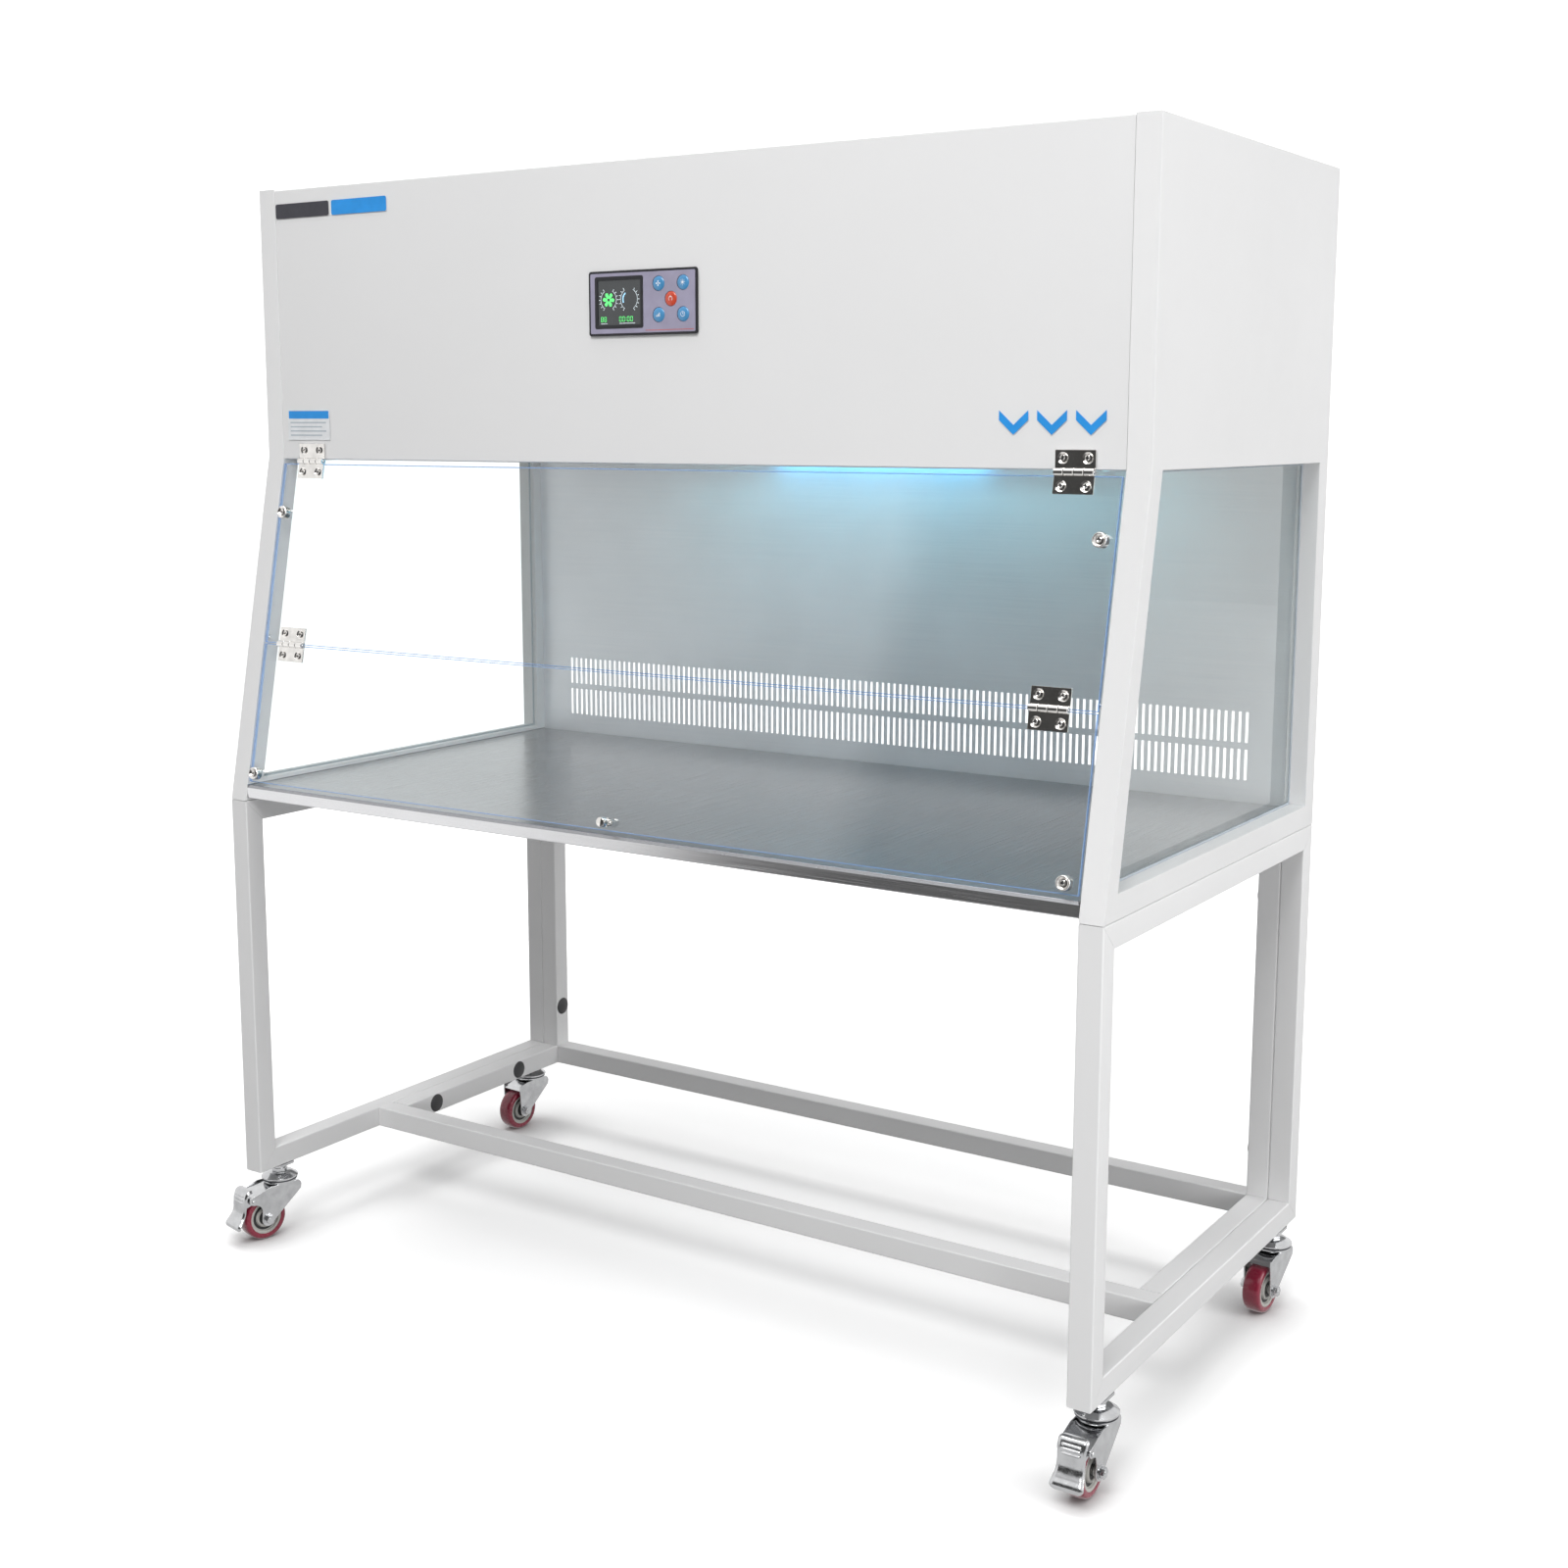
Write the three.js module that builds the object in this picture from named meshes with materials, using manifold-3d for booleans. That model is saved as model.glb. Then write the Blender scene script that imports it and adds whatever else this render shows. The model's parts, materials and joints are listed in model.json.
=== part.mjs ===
// Vertical laminar-flow bench: a folding-sash cabinet on a caster stand.
// Millimetres, +Z up, +X to the right of a person at the front, +Y to the rear.
// Inside the bench group, y = 0 is the front plane of the stand and z = 0 is the floor.
import * as THREE from "three";
import { mergeVertices } from "three/addons/utils/BufferGeometryUtils.js";
import Module from "manifold-3d";

const wasm = await Module();
wasm.setup();

// ---- Driving dimensions -------------------------------------------------------------
const WIDTH = 1500;
const DEPTH = 750;
const HEIGHT = 1685; // floor to roof
const FRONT_Y = -356.5; // centres the footprint, brake pedals included, on the origin
const FOOT = 121; // underside of the stand, which is the height of a caster
const GAP = 0.3; // left between pieces that touch
const TUBE = 34; // square tube of the stand, and thickness of the cabinet's sides
const SKIN = 1.5; // sheet and tube wall
const FLANGE = 20; // width of a folded edge
const OVER = 1; // how far a cutting tool runs past the face it cuts
const DRILL = 8; // length of the tool for a hole through one tube wall
const INNER_X = WIDTH / 2 - TUBE; // inner faces of the side frames
const CENTRE_X = INNER_X - GAP; // outer faces of the tubes between the side frames
const REAR_TUBES = DEPTH - TUBE; // front face of the rear posts and rails

const SEAM = FOOT + 616; // between stand and cabinet
const BEND = FOOT + 1154.7; // where the slanted front meets the upright blower box
const SETBACK = 106; // blower box front behind the stand's front plane
const TILT = Math.atan(SETBACK / (BEND - SEAM));
const COVER_BOTTOM = FOOT + 1149;
const WORKTOP = FOOT + 644;
const WORKTOP_SKIRT = 24;
const WORKTOP_FRONT = 3;
const REAR_WALL_Y = 735;

const WINDOW_POST = 33; // width of the posts in front of and below a side window
const WINDOW_REAR = DEPTH - 35;
const WINDOW_TOP = FOOT + 1150;
const GLASS = 5;
const GLASS_LAP = 6; // how far a side pane reaches past its window
const GLASS_INSET = 1.5; // from the side's inner face to the pane
const REBATE = GLASS_INSET + GLASS + 0.5;

const MID_RAIL_Y = 271.5; // front face of the middle cross rail
const POST_HOLES = [
  [733, FOOT + 108],
  [733, FOOT + 505],
];
const RUNNER_HOLES = [
  [603, FOOT + 17],
  [380, FOOT + 17],
];
const ACCESS_RADIUS = 12;
const BOLT_RADIUS = 4.5;

const SLOT_COLUMNS = 118;
const SLOT_SPAN = 1296.6; // first column centre to last
const SLOT_WIDTH = 4.6;
const SLOT_HEIGHT = 46.5;
const SLOT_ROWS = [FOOT + 698, FOOT + 755];

// Heights along the sash are measured up its slope from the seam.
const SASH = { width: 1426, thickness: 5, bottom: 32, fold: 252.5, top: 537.5, gap: 2 };
const TOP_PIN_Z = COVER_BOTTOM - 1.5;
const MAGNET = { x: 695.6, lower: 46, upper: 459, radius: 9.8, length: 11.5 };
const CHAMFER = 1.2;
const KNOB = { z: 44, radius: 7, neck: 4, neckLength: 6, length: 18 };
const HINGE = { x: 650.5, width: 54, leaf: 27, thickness: 2, barrel: 4, pin: 1.8, bore: 2.1 };
const HINGE_STANDOFF = HINGE.barrel + GAP; // pin centre in front of the face it serves
const KNUCKLES = 4;

const INTAKE = { width: 880, y0: 260, y1: 590 };
const PREFILTER = { lap: 20, thickness: 20 };
const INLET = { x: 560, z: FOOT + 1290, width: 48, height: 28, depth: 26 };
const SOCKET = { width: 26, height: 16, depth: 16 };
const CEILING = COVER_BOTTOM + SKIN + GAP;
const DIFFUSER = { columns: 8, rows: 2, rib: 24 };
const HEPA = { y0: 150, y1: 725, halfX: 690, z0: CEILING + 12, height: 69 };
const BLOWER = { y: 430, half: 190, z0: HEPA.z0 + HEPA.height + 6, height: 200, wall: 2 };
const MOTOR = { radius: 40, length: 61, bridge: 24 };
const IMPELLER = { radius: 130, eye: 95, height: 90, blades: 12, plate: 3, blade: 2, lift: 24 };
const LAMP_TUBE = { radius: 6.5, drop: 8, holder: 14 };
const UV = { halfLength: 220, y: 700 };

const PANEL = { x: -3, z: FOOT + 1370, width: 186, height: 88.5, proud: 2.7, flange: 7, depth: 16 };
const PANEL_FACE = SETBACK - PANEL.proud;
const DISPLAY = { x: -43, z: FOOT + 1371, width: 80, height: 67, thickness: 2, pocket: 2.4 };
const BUTTON = { radius: 10, proud: 1.5, length: 6, well: 9, clearance: 0.4 };
const BUTTONS = {
  fan: [25.2, FOOT + 1394.5],
  lamp: [66.4, FOOT + 1394.5],
  power: [46, FOOT + 1373.5],
  speed: [25.2, FOOT + 1352.5],
  timer: [66.4, FOOT + 1352.5],
};

// A caster trails towards the front. Heading is its turn about the swivel axis, in degrees.
const CASTER = { inset: 17, setback: 55.5, trail: 35.1, wheel: 37.2, axle: 4, armX: 20, arm: 2.5 };
const CASTERS = {
  front_left: { side: -1, rear: false, heading: -12.9 },
  front_right: { side: 1, rear: false, heading: 0.4 },
  rear_left: { side: -1, rear: true, heading: -4.3 },
  rear_right: { side: 1, rear: true, heading: -5.4 },
};
const NUT = { radius: 8, length: 8 };
const TREAD_SIDES = 24;
const HUB_SIDES = 14;
const BRAKE = { y: -61, z: 72, pin: 2.2, bore: 2.6, halfWidth: 21.5, cheek: 2, cheekX: 17 };
const SIDES = { left: -1, right: 1 };

// ---- Materials ----------------------------------------------------------------------
const finish = (color, roughness, metalness, more = {}) =>
  new THREE.MeshStandardMaterial({ color, roughness, metalness, ...more });
const CLEAR = { transparent: true, opacity: 0.3 };
const PAINT = () => finish(0xe6e6e8, 0.45, 0.1);
const FRAME_PAINT = () => finish(0xdcdcdd, 0.5, 0.1);
const STAINLESS = () => finish(0x9aa0a4, 0.35, 0.9);
const CHROME = () => finish(0xd0d2d4, 0.15, 1);
const ACRYLIC = () => finish(0xbfdcf2, 0.05, 0, CLEAR);
const SIDE_GLASS = () => finish(0xc4d0cc, 0.05, 0, CLEAR);
const GREY_PLASTIC = () => finish(0x8d879c, 0.4, 0);
const BLACK_PLASTIC = () => finish(0x16181c, 0.35, 0);
const BLUE_PLASTIC = () => finish(0x2f7fc4, 0.35, 0);
const RED_PLASTIC = () => finish(0xc8361f, 0.35, 0);
const MAROON = () => finish(0x8c1c30, 0.3, 0);
const HUB_GREY = () => finish(0xc9c8c2, 0.45, 0);
const FILTER = () => finish(0xf2f1ea, 0.9, 0);
const LAMP = () => finish(0xe8f4ff, 0.2, 0);

// ---- Geometry helpers ---------------------------------------------------------------
const polygon = (points) => new THREE.Shape(points.map(([u, v]) => new THREE.Vector2(u, v)));
const rectangle = (u0, v0, u1, v1) => polygon([[u0, v0], [u1, v0], [u1, v1], [u0, v1]]);

function withHoles(shape, holes) {
  shape.holes.push(...holes);
  return shape;
}

const extrude = (shape, depth) =>
  new THREE.ExtrudeGeometry(shape, { depth, bevelEnabled: false, curveSegments: 6 });

// A shape drawn in (y, z), extruded from x0 to x1.
function alongX(shape, x0, x1) {
  const toX = new THREE.Matrix4().makeBasis(
    new THREE.Vector3(0, 1, 0),
    new THREE.Vector3(0, 0, 1),
    new THREE.Vector3(1, 0, 0),
  );
  return extrude(shape, x1 - x0).applyMatrix4(toX).translate(x0, 0, 0);
}

// A shape drawn in (x, z), extruded from y0 to y1.
const alongY = (shape, y0, y1) =>
  extrude(shape, y1 - y0).rotateX(Math.PI / 2).translate(0, y1, 0);

const alongZ = (shape, z0, z1) => extrude(shape, z1 - z0).translate(0, 0, z0);

function block([x0, y0, z0], [x1, y1, z1]) {
  const box = new THREE.BoxGeometry(x1 - x0, y1 - y0, z1 - z0);
  return box.translate((x0 + x1) / 2, (y0 + y1) / 2, (z0 + z1) / 2);
}

const TURN_TO = {
  x: (g) => g.rotateZ(-Math.PI / 2),
  y: (g) => g,
  z: (g) => g.rotateX(Math.PI / 2),
};

// A cylinder from the centre of its first end, running in the direction of the axis.
function rod(axis, radius, from, length, sides = 12) {
  const g = TURN_TO[axis](new THREE.CylinderGeometry(radius, radius, length, sides));
  const half = { x: [length / 2, 0, 0], y: [0, length / 2, 0], z: [0, 0, length / 2] }[axis];
  return g.translate(from[0] + half[0], from[1] + half[1], from[2] + half[2]);
}

// A closed profile of [radius, height] points turned about the named axis.
function turned(profile, axis, sides) {
  const points = [...profile, profile[0]].map(([r, h]) => new THREE.Vector2(r, h));
  const g = TURN_TO[axis === "z" ? "y" : axis](new THREE.LatheGeometry(points, sides));
  return axis === "z" ? g.rotateX(Math.PI / 2) : g;
}

function solidOf(geometry) {
  const bare = geometry.clone();
  bare.deleteAttribute("normal");
  bare.deleteAttribute("uv");
  const merged = mergeVertices(bare, 1e-4);
  return new wasm.Manifold(
    new wasm.Mesh({
      numProp: 3,
      vertProperties: merged.attributes.position.array,
      triVerts: new Uint32Array(merged.index.array),
    }),
  );
}

function geometryOf(solid) {
  const { vertProperties, triVerts } = solid.getMesh();
  return new THREE.BufferGeometry()
    .setAttribute("position", new THREE.BufferAttribute(vertProperties, 3))
    .setIndex(new THREE.BufferAttribute(triVerts, 1));
}

const join = (...pieces) =>
  geometryOf(pieces.map(solidOf).reduce((whole, piece) => whole.add(piece)));

const cut = (base, ...tools) =>
  geometryOf(tools.map(solidOf).reduce((rest, tool) => rest.subtract(tool), solidOf(base)));

function piece(parent, name, geometry, material) {
  const shaded = geometry.index ? geometry.toNonIndexed() : geometry;
  shaded.computeVertexNormals();
  const mesh = new THREE.Mesh(shaded, material);
  mesh.name = name;
  parent.add(mesh);
  return mesh;
}

// ---- Stand --------------------------------------------------------------------------
const tubeRing = (inset, x0, x1) =>
  alongX(
    withHoles(
      rectangle(inset, FOOT + inset, DEPTH - inset, SEAM - GAP - inset),
      [rectangle(TUBE - inset, FOOT + TUBE - inset, DEPTH - TUBE + inset, SEAM - TUBE + inset)],
    ),
    x0,
    x1,
  );

const drill = (radius, x, y, z, sides) => rod("x", radius, [x - DRILL / 2, y, z], DRILL, sides);

// A closed rectangle of square tube on each side, drilled for the bolts of the other frames.
function sideFrame(side) {
  const low = Math.min(side * INNER_X, (side * WIDTH) / 2);
  const holes = [...POST_HOLES, ...RUNNER_HOLES].map(([y, z]) =>
    drill(BOLT_RADIUS, side * INNER_X, y, z, 6),
  );
  return cut(tubeRing(0, low, low + TUBE), tubeRing(SKIN, low + SKIN, low + TUBE - SKIN), ...holes);
}

const tube = (low, high, inset) =>
  block(low.map((v) => v + inset), high.map((v) => v - inset));

// The x range of a tube that lies against the side frame on one side.
const besideFrame = (side) =>
  side < 0 ? [-CENTRE_X, TUBE - CENTRE_X] : [CENTRE_X - TUBE, CENTRE_X];

// Two posts with a rail across their feet and one across their heads.
function rearTubes(inset) {
  const top = SEAM - GAP;
  const posts = Object.values(SIDES).map((side) => {
    const [x0, x1] = besideFrame(side);
    return tube([x0, REAR_TUBES, FOOT], [x1, DEPTH, top], inset);
  });
  const rails = [FOOT, top - TUBE].map((z) =>
    tube([-CENTRE_X, REAR_TUBES, z], [CENTRE_X, DEPTH, z + TUBE], inset),
  );
  return join(...posts, ...rails);
}

// The middle cross rail, with a runner at each end back to the rear posts.
function lowTubes(inset) {
  const top = FOOT + TUBE;
  const runners = Object.values(SIDES).map((side) => {
    const [x0, x1] = besideFrame(side);
    return tube([x0, MID_RAIL_Y, FOOT], [x1, REAR_TUBES - GAP, top], inset);
  });
  const rail = tube([-CENTRE_X, MID_RAIL_Y, FOOT], [CENTRE_X, MID_RAIL_Y + TUBE, top], inset);
  return join(...runners, rail);
}

// Wide holes on the inner faces let a spanner reach the bolt holes on the outer faces.
function boltedFrame(tubes, places) {
  const inner = CENTRE_X - TUBE;
  const holes = Object.values(SIDES).flatMap((side) =>
    places.flatMap(([y, z]) => [
      drill(ACCESS_RADIUS, side * inner, y, z, 10),
      drill(BOLT_RADIUS, side * INNER_X, y, z, 6),
    ]),
  );
  return cut(tubes(0), tubes(SKIN), ...holes);
}

function addStand(bench) {
  for (const [name, side] of Object.entries(SIDES)) {
    piece(bench, `stand_side_frame_${name}`, sideFrame(side), FRAME_PAINT());
  }
  piece(bench, "stand_rear_frame", boltedFrame(rearTubes, POST_HOLES), FRAME_PAINT());
  piece(bench, "stand_low_frame", boltedFrame(lowTubes, RUNNER_HOLES), FRAME_PAINT());
}

// ---- Cabinet shells -----------------------------------------------------------------
const slope = (z) => ((z - SEAM) * SETBACK) / (BEND - SEAM);

// Side outline: slanted below the bend, upright above it, moved inwards by inset.
const sideOutline = (inset) => {
  const base = SEAM + GAP + inset;
  return polygon([
    [slope(base) + inset, base],
    [DEPTH - inset, base],
    [DEPTH - inset, HEIGHT - inset],
    [SETBACK + inset, HEIGHT - inset],
    [SETBACK + inset, BEND],
  ]);
};

// Window outline, grown outwards by margin.
const windowOutline = (margin) => {
  const low = SEAM + WINDOW_POST - margin;
  const high = WINDOW_TOP + margin;
  return polygon([
    [slope(low) + WINDOW_POST - margin, low],
    [WINDOW_REAR + margin, low],
    [WINDOW_REAR + margin, high],
    [slope(high) + WINDOW_POST - margin, high],
  ]);
};

// A shape drawn in (y, z), extruded between two distances from the middle on one side.
function onSide(side, shape, near, far) {
  const [x0, x1] = side < 0 ? [-far, -near] : [near, far];
  return alongX(shape, x0, x1);
}

// A folded box section round the window, with a rebate inside for the pane. Its upper
// part opens towards the blower box.
function cabinetSide(side) {
  const pocket = GLASS_LAP + GAP;
  const hollow = withHoles(sideOutline(SKIN), [windowOutline(pocket + SKIN)]);
  const mouth = rectangle(
    SETBACK + FLANGE,
    WINDOW_TOP + WINDOW_POST,
    DEPTH - FLANGE,
    HEIGHT - FLANGE,
  );
  return cut(
    onSide(side, sideOutline(0), INNER_X, WIDTH / 2),
    onSide(side, windowOutline(0), INNER_X - OVER, WIDTH / 2 + OVER),
    onSide(side, windowOutline(pocket), INNER_X - OVER, INNER_X + REBATE),
    onSide(side, hollow, INNER_X + SKIN, WIDTH / 2 - SKIN),
    onSide(side, mouth, INNER_X - OVER, INNER_X + SKIN + OVER),
  );
}

function sideGlass(side) {
  const near = INNER_X + GLASS_INSET;
  return onSide(side, windowOutline(GLASS_LAP), near, near + GLASS);
}

const CROSS_X = INNER_X - GAP; // half length of what spans between the sides

// Front cover: an upright sheet folded inwards along its top and bottom.
function frontCover() {
  const face = rectangle(SETBACK, COVER_BOTTOM, SETBACK + SKIN, HEIGHT);
  const lowerFold = rectangle(SETBACK, COVER_BOTTOM, SETBACK + TUBE, COVER_BOTTOM + SKIN);
  const upperFold = rectangle(SETBACK, HEIGHT - SKIN, SETBACK + FLANGE, HEIGHT);
  const folds = [face, lowerFold, upperFold].map((s) => alongX(s, -CROSS_X, CROSS_X));
  return cut(join(...folds), controlBody(GAP));
}

function topCover() {
  const sheet = rectangle(-CROSS_X, SETBACK + FLANGE + GAP, CROSS_X, DEPTH);
  const intake = rectangle(-INTAKE.width / 2, INTAKE.y0, INTAKE.width / 2, INTAKE.y1);
  return alongZ(withHoles(sheet, [intake]), HEIGHT - SKIN, HEIGHT);
}

// A rectangle round the power inlet's centre.
function inletOutline(width, height) {
  const { x, z } = INLET;
  return rectangle(x - width / 2, z - height / 2, x + width / 2, z + height / 2);
}

function rearCover() {
  const sheet = rectangle(-CROSS_X, WINDOW_TOP, CROSS_X, HEIGHT - SKIN - GAP);
  const opening = inletOutline(INLET.width + 2 * GAP, INLET.height + 2 * GAP);
  return alongY(withHoles(sheet, [opening]), DEPTH - SKIN, DEPTH);
}

function powerInlet() {
  const { width, height, depth } = SOCKET;
  return cut(
    alongY(inletOutline(INLET.width, INLET.height), DEPTH - INLET.depth, DEPTH - GAP),
    alongY(inletOutline(width, height), DEPTH - depth, DEPTH + OVER),
  );
}

// Rear wall of the chamber, with two rows of air slots low down.
function rearWall() {
  const pitch = SLOT_SPAN / (SLOT_COLUMNS - 1);
  const [w, h] = [SLOT_WIDTH / 2, SLOT_HEIGHT / 2];
  const [y0, y1] = [REAR_WALL_Y, REAR_WALL_Y + SKIN];
  const slots = SLOT_ROWS.flatMap((z) =>
    Array.from({ length: SLOT_COLUMNS }, (_, i) => {
      const x = i * pitch - SLOT_SPAN / 2;
      return block([x - w, y0 - OVER, z - h], [x + w, y1 + OVER, z + h]);
    }),
  );
  return cut(block([-CROSS_X, y0, SEAM + GAP], [CROSS_X, y1, WINDOW_TOP - GAP]), ...slots);
}

// Worktop: a shallow tray turned upside down.
function worktop() {
  const [front, rear] = [WORKTOP_FRONT, REAR_WALL_Y - GAP];
  const base = WORKTOP - WORKTOP_SKIRT;
  return cut(
    block([-CROSS_X, front, base], [CROSS_X, rear, WORKTOP]),
    block(
      [-CROSS_X + SKIN, front + SKIN, base - OVER],
      [CROSS_X - SKIN, rear - SKIN, WORKTOP - SKIN],
    ),
  );
}

function addCabinet(bench) {
  for (const [name, side] of Object.entries(SIDES)) {
    piece(bench, `cabinet_side_${name}`, cabinetSide(side), PAINT());
    piece(bench, `side_glass_${name}`, sideGlass(side), SIDE_GLASS());
  }
  piece(bench, "front_cover", frontCover(), PAINT());
  piece(bench, "top_cover", topCover(), PAINT());
  piece(bench, "rear_cover", rearCover(), PAINT());
  piece(bench, "rear_wall", rearWall(), STAINLESS());
  piece(bench, "worktop", worktop(), STAINLESS());
  piece(bench, "power_inlet", powerInlet(), BLACK_PLASTIC());
}

// ---- Air and light inside the blower box ----------------------------------------------
// Ceiling plate with rows of wide openings for the filtered air.
function diffuser() {
  const [y0, y1, halfX] = [SETBACK + TUBE + GAP, REAR_WALL_Y - GAP, CROSS_X];
  const [z0, z1] = [CEILING, CEILING + SKIN];
  const { columns, rows, rib } = DIFFUSER;
  const cellX = (2 * halfX - rib) / columns;
  const cellY = (y1 - y0 - rib) / rows;
  const holes = Array.from({ length: columns * rows }, (_, i) => {
    const x = -halfX + rib + (i % columns) * cellX;
    const y = y0 + rib + Math.floor(i / columns) * cellY;
    return block([x, y, z0 - OVER], [x + cellX - rib, y + cellY - rib, z1 + OVER]);
  });
  return cut(block([-halfX, y0, z0], [halfX, y1, z1]), ...holes);
}

function hepaFilter() {
  const { y0, y1, halfX, z0, height } = HEPA;
  return block([-halfX, y0, z0], [halfX, y1, z0 + height]);
}

// Open-bottomed blower case with a round inlet, and the motor hung under its lid.
function blowerHousing() {
  const { y, half, z0, height, wall } = BLOWER;
  const top = z0 + height;
  const halfBridge = MOTOR.bridge / 2;
  const inner = half - wall;
  const shell = cut(
    block([-half, y - half, z0], [half, y + half, top]),
    block([-inner, y - inner, z0 - OVER], [inner, y + inner, top - wall]),
    rod("z", IMPELLER.eye, [0, y, top - wall - OVER], wall + 2 * OVER, 20),
  );
  return join(
    shell,
    block([-half, y - halfBridge, top - wall], [half, y + halfBridge, top]),
    rod("z", MOTOR.radius, [0, y, top - OVER - MOTOR.length], MOTOR.length, 16),
  );
}

// A forward-curved wheel: back plate, blades and a front ring.
function blowerImpeller() {
  const { radius, eye, height, blades, plate, blade, lift } = IMPELLER;
  const base = BLOWER.z0 + lift;
  const annulus = new THREE.Shape().absarc(0, 0, radius, 0, 2 * Math.PI);
  annulus.holes.push(new THREE.Path().absarc(0, 0, eye, 0, 2 * Math.PI));
  const vanes = Array.from({ length: blades }, (_, i) =>
    block([eye + plate, -blade / 2, base + OVER], [radius - plate, blade / 2, base + height - OVER])
      .rotateZ((i * 2 * Math.PI) / blades),
  );
  return join(
    rod("z", radius, [0, 0, base], plate, 24),
    alongZ(annulus, base + height - plate, base + height),
    ...vanes,
  ).translate(0, BLOWER.y, 0);
}

function prefilter() {
  const { lap, thickness } = PREFILTER;
  const top = HEIGHT - SKIN - GAP;
  const halfX = INTAKE.width / 2 + lap;
  return block([-halfX, INTAKE.y0 - lap, top - thickness], [halfX, INTAKE.y1 + lap, top]);
}

// A lamp tube between two holders under the ceiling.
function ceilingLamp() {
  const { halfLength, y } = UV;
  const { radius, drop } = LAMP_TUBE;
  const half = LAMP_TUBE.holder / 2;
  const top = CEILING - GAP;
  const z = top - drop;
  const holder = (x) => block([x - half, y - half, z - half], [x + half, y + half, top]);
  const tube = rod("x", radius, [-halfLength, y, z], 2 * halfLength, 12);
  return join(tube, holder(-halfLength), holder(halfLength));
}

function addAirAndLight(bench) {
  piece(bench, "diffuser_ceiling", diffuser(), PAINT());
  piece(bench, "hepa_filter", hepaFilter(), FILTER());
  piece(bench, "blower_housing", blowerHousing(), STAINLESS());
  piece(bench, "blower_impeller", blowerImpeller(), BLACK_PLASTIC());
  piece(bench, "prefilter", prefilter(), FILTER());
  piece(bench, "uv_lamp", ceilingLamp(), LAMP());
}

// ---- Control panel --------------------------------------------------------------------
// The part of the control panel that passes through the front cover.
function controlBody(margin) {
  const { x, z, width, height, flange, depth } = PANEL;
  const [halfX, halfZ] = [width / 2 - flange + margin, height / 2 - flange + margin];
  return block(
    [x - halfX, SETBACK - GAP - margin, z - halfZ],
    [x + halfX, SETBACK + depth, z + halfZ],
  );
}

function controlBezel() {
  const { x, z, width, height } = PANEL;
  const flange = block(
    [x - width / 2, PANEL_FACE, z - height / 2],
    [x + width / 2, SETBACK - GAP, z + height / 2],
  );
  const pocket = displayBlock(GAP, PANEL_FACE - OVER, PANEL_FACE + DISPLAY.pocket);
  const { radius, clearance, well } = BUTTON;
  const wells = Object.values(BUTTONS).map(([bx, bz]) =>
    rod("y", radius + clearance, [bx, PANEL_FACE - OVER, bz], well + OVER, 16),
  );
  return cut(join(flange, controlBody(0)), pocket, ...wells);
}

function displayBlock(margin, y0, y1) {
  const { x, z, width, height } = DISPLAY;
  const [halfX, halfZ] = [width / 2 + margin, height / 2 + margin];
  return block([x - halfX, y0, z - halfZ], [x + halfX, y1, z + halfZ]);
}

function addControls(bench) {
  piece(bench, "control_bezel", controlBezel(), GREY_PLASTIC());
  const pane = displayBlock(0, PANEL_FACE, PANEL_FACE + DISPLAY.thickness);
  piece(bench, "display_window", pane, BLACK_PLASTIC());
  for (const [name, [x, z]] of Object.entries(BUTTONS)) {
    const cap = rod("y", BUTTON.radius, [x, PANEL_FACE - BUTTON.proud, z], BUTTON.length, 16);
    piece(bench, `button_${name}`, cap, name === "power" ? RED_PLASTIC() : BLUE_PLASTIC());
  }
}

// ---- Sash -------------------------------------------------------------------------------
// One hinge leaf with its pin on the x axis. Direction is 1 for a leaf above the pin and
// -1 below; face is the y of the surface it is screwed to, measured from the pin.
function hingeLeaf(direction, face) {
  const { width, leaf, thickness, barrel, pin, bore } = HINGE;
  const knuckle = width / KNUCKLES;
  const hasPin = direction > 0;
  const isOwn = (i) => (i % 2 === 0) === hasPin;
  const start = (i) => i * knuckle - width / 2;
  const knuckles = Array.from({ length: KNUCKLES }, (_, i) => i);
  const barrels = knuckles
    .filter(isOwn)
    .map((i) => rod("x", barrel, [start(i) + GAP / 2, 0, 0], knuckle - GAP, 10));
  const notches = knuckles
    .filter((i) => !isOwn(i))
    .map((i) =>
      block(
        [start(i) - GAP / 2, -barrel - OVER, -barrel - GAP],
        [start(i) + knuckle + GAP / 2, face + OVER, barrel + GAP],
      ),
    );
  const edge = direction * leaf;
  const plate = block(
    [-width / 2, face - GAP - thickness, Math.min(0, edge)],
    [width / 2, face - GAP, Math.max(0, edge)],
  );
  const body = join(cut(plate, ...notches), ...barrels);
  if (hasPin) return join(body, rod("x", pin, [OVER - width / 2, 0, 0], width - OVER, 8));
  return cut(body, rod("x", bore, [-OVER - width / 2, 0, 0], width + 2 * OVER, 8));
}

// The slanted frame of the closed sash: its z runs up the slope and its y points inwards.
function slantedGroup(bench) {
  const group = new THREE.Group();
  group.position.set(0, 0, SEAM);
  group.rotation.x = -TILT;
  bench.add(group);
  return group;
}

function placed(mesh, x, y, z) {
  mesh.position.set(x, y, z);
  return mesh;
}

const sashPanel = (z0, z1) =>
  block([-SASH.width / 2, 0, z0], [SASH.width / 2, SASH.thickness, z1]);

// A turned piece that stands out of the sash's outer face, from [radius, height] points.
function studOnSash(profile, x, z) {
  const points = profile.map(([r, h]) => new THREE.Vector2(r, h));
  return new THREE.LatheGeometry(points, 16).rotateX(Math.PI).translate(x, -GAP, z);
}

function magnet(z, side) {
  const { x, radius, length } = MAGNET;
  const shoulder = [[radius, length - CHAMFER], [radius - CHAMFER, length]];
  return studOnSash([[0, 0], [radius, 0], ...shoulder, [0, length]], side * x, z);
}

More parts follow.
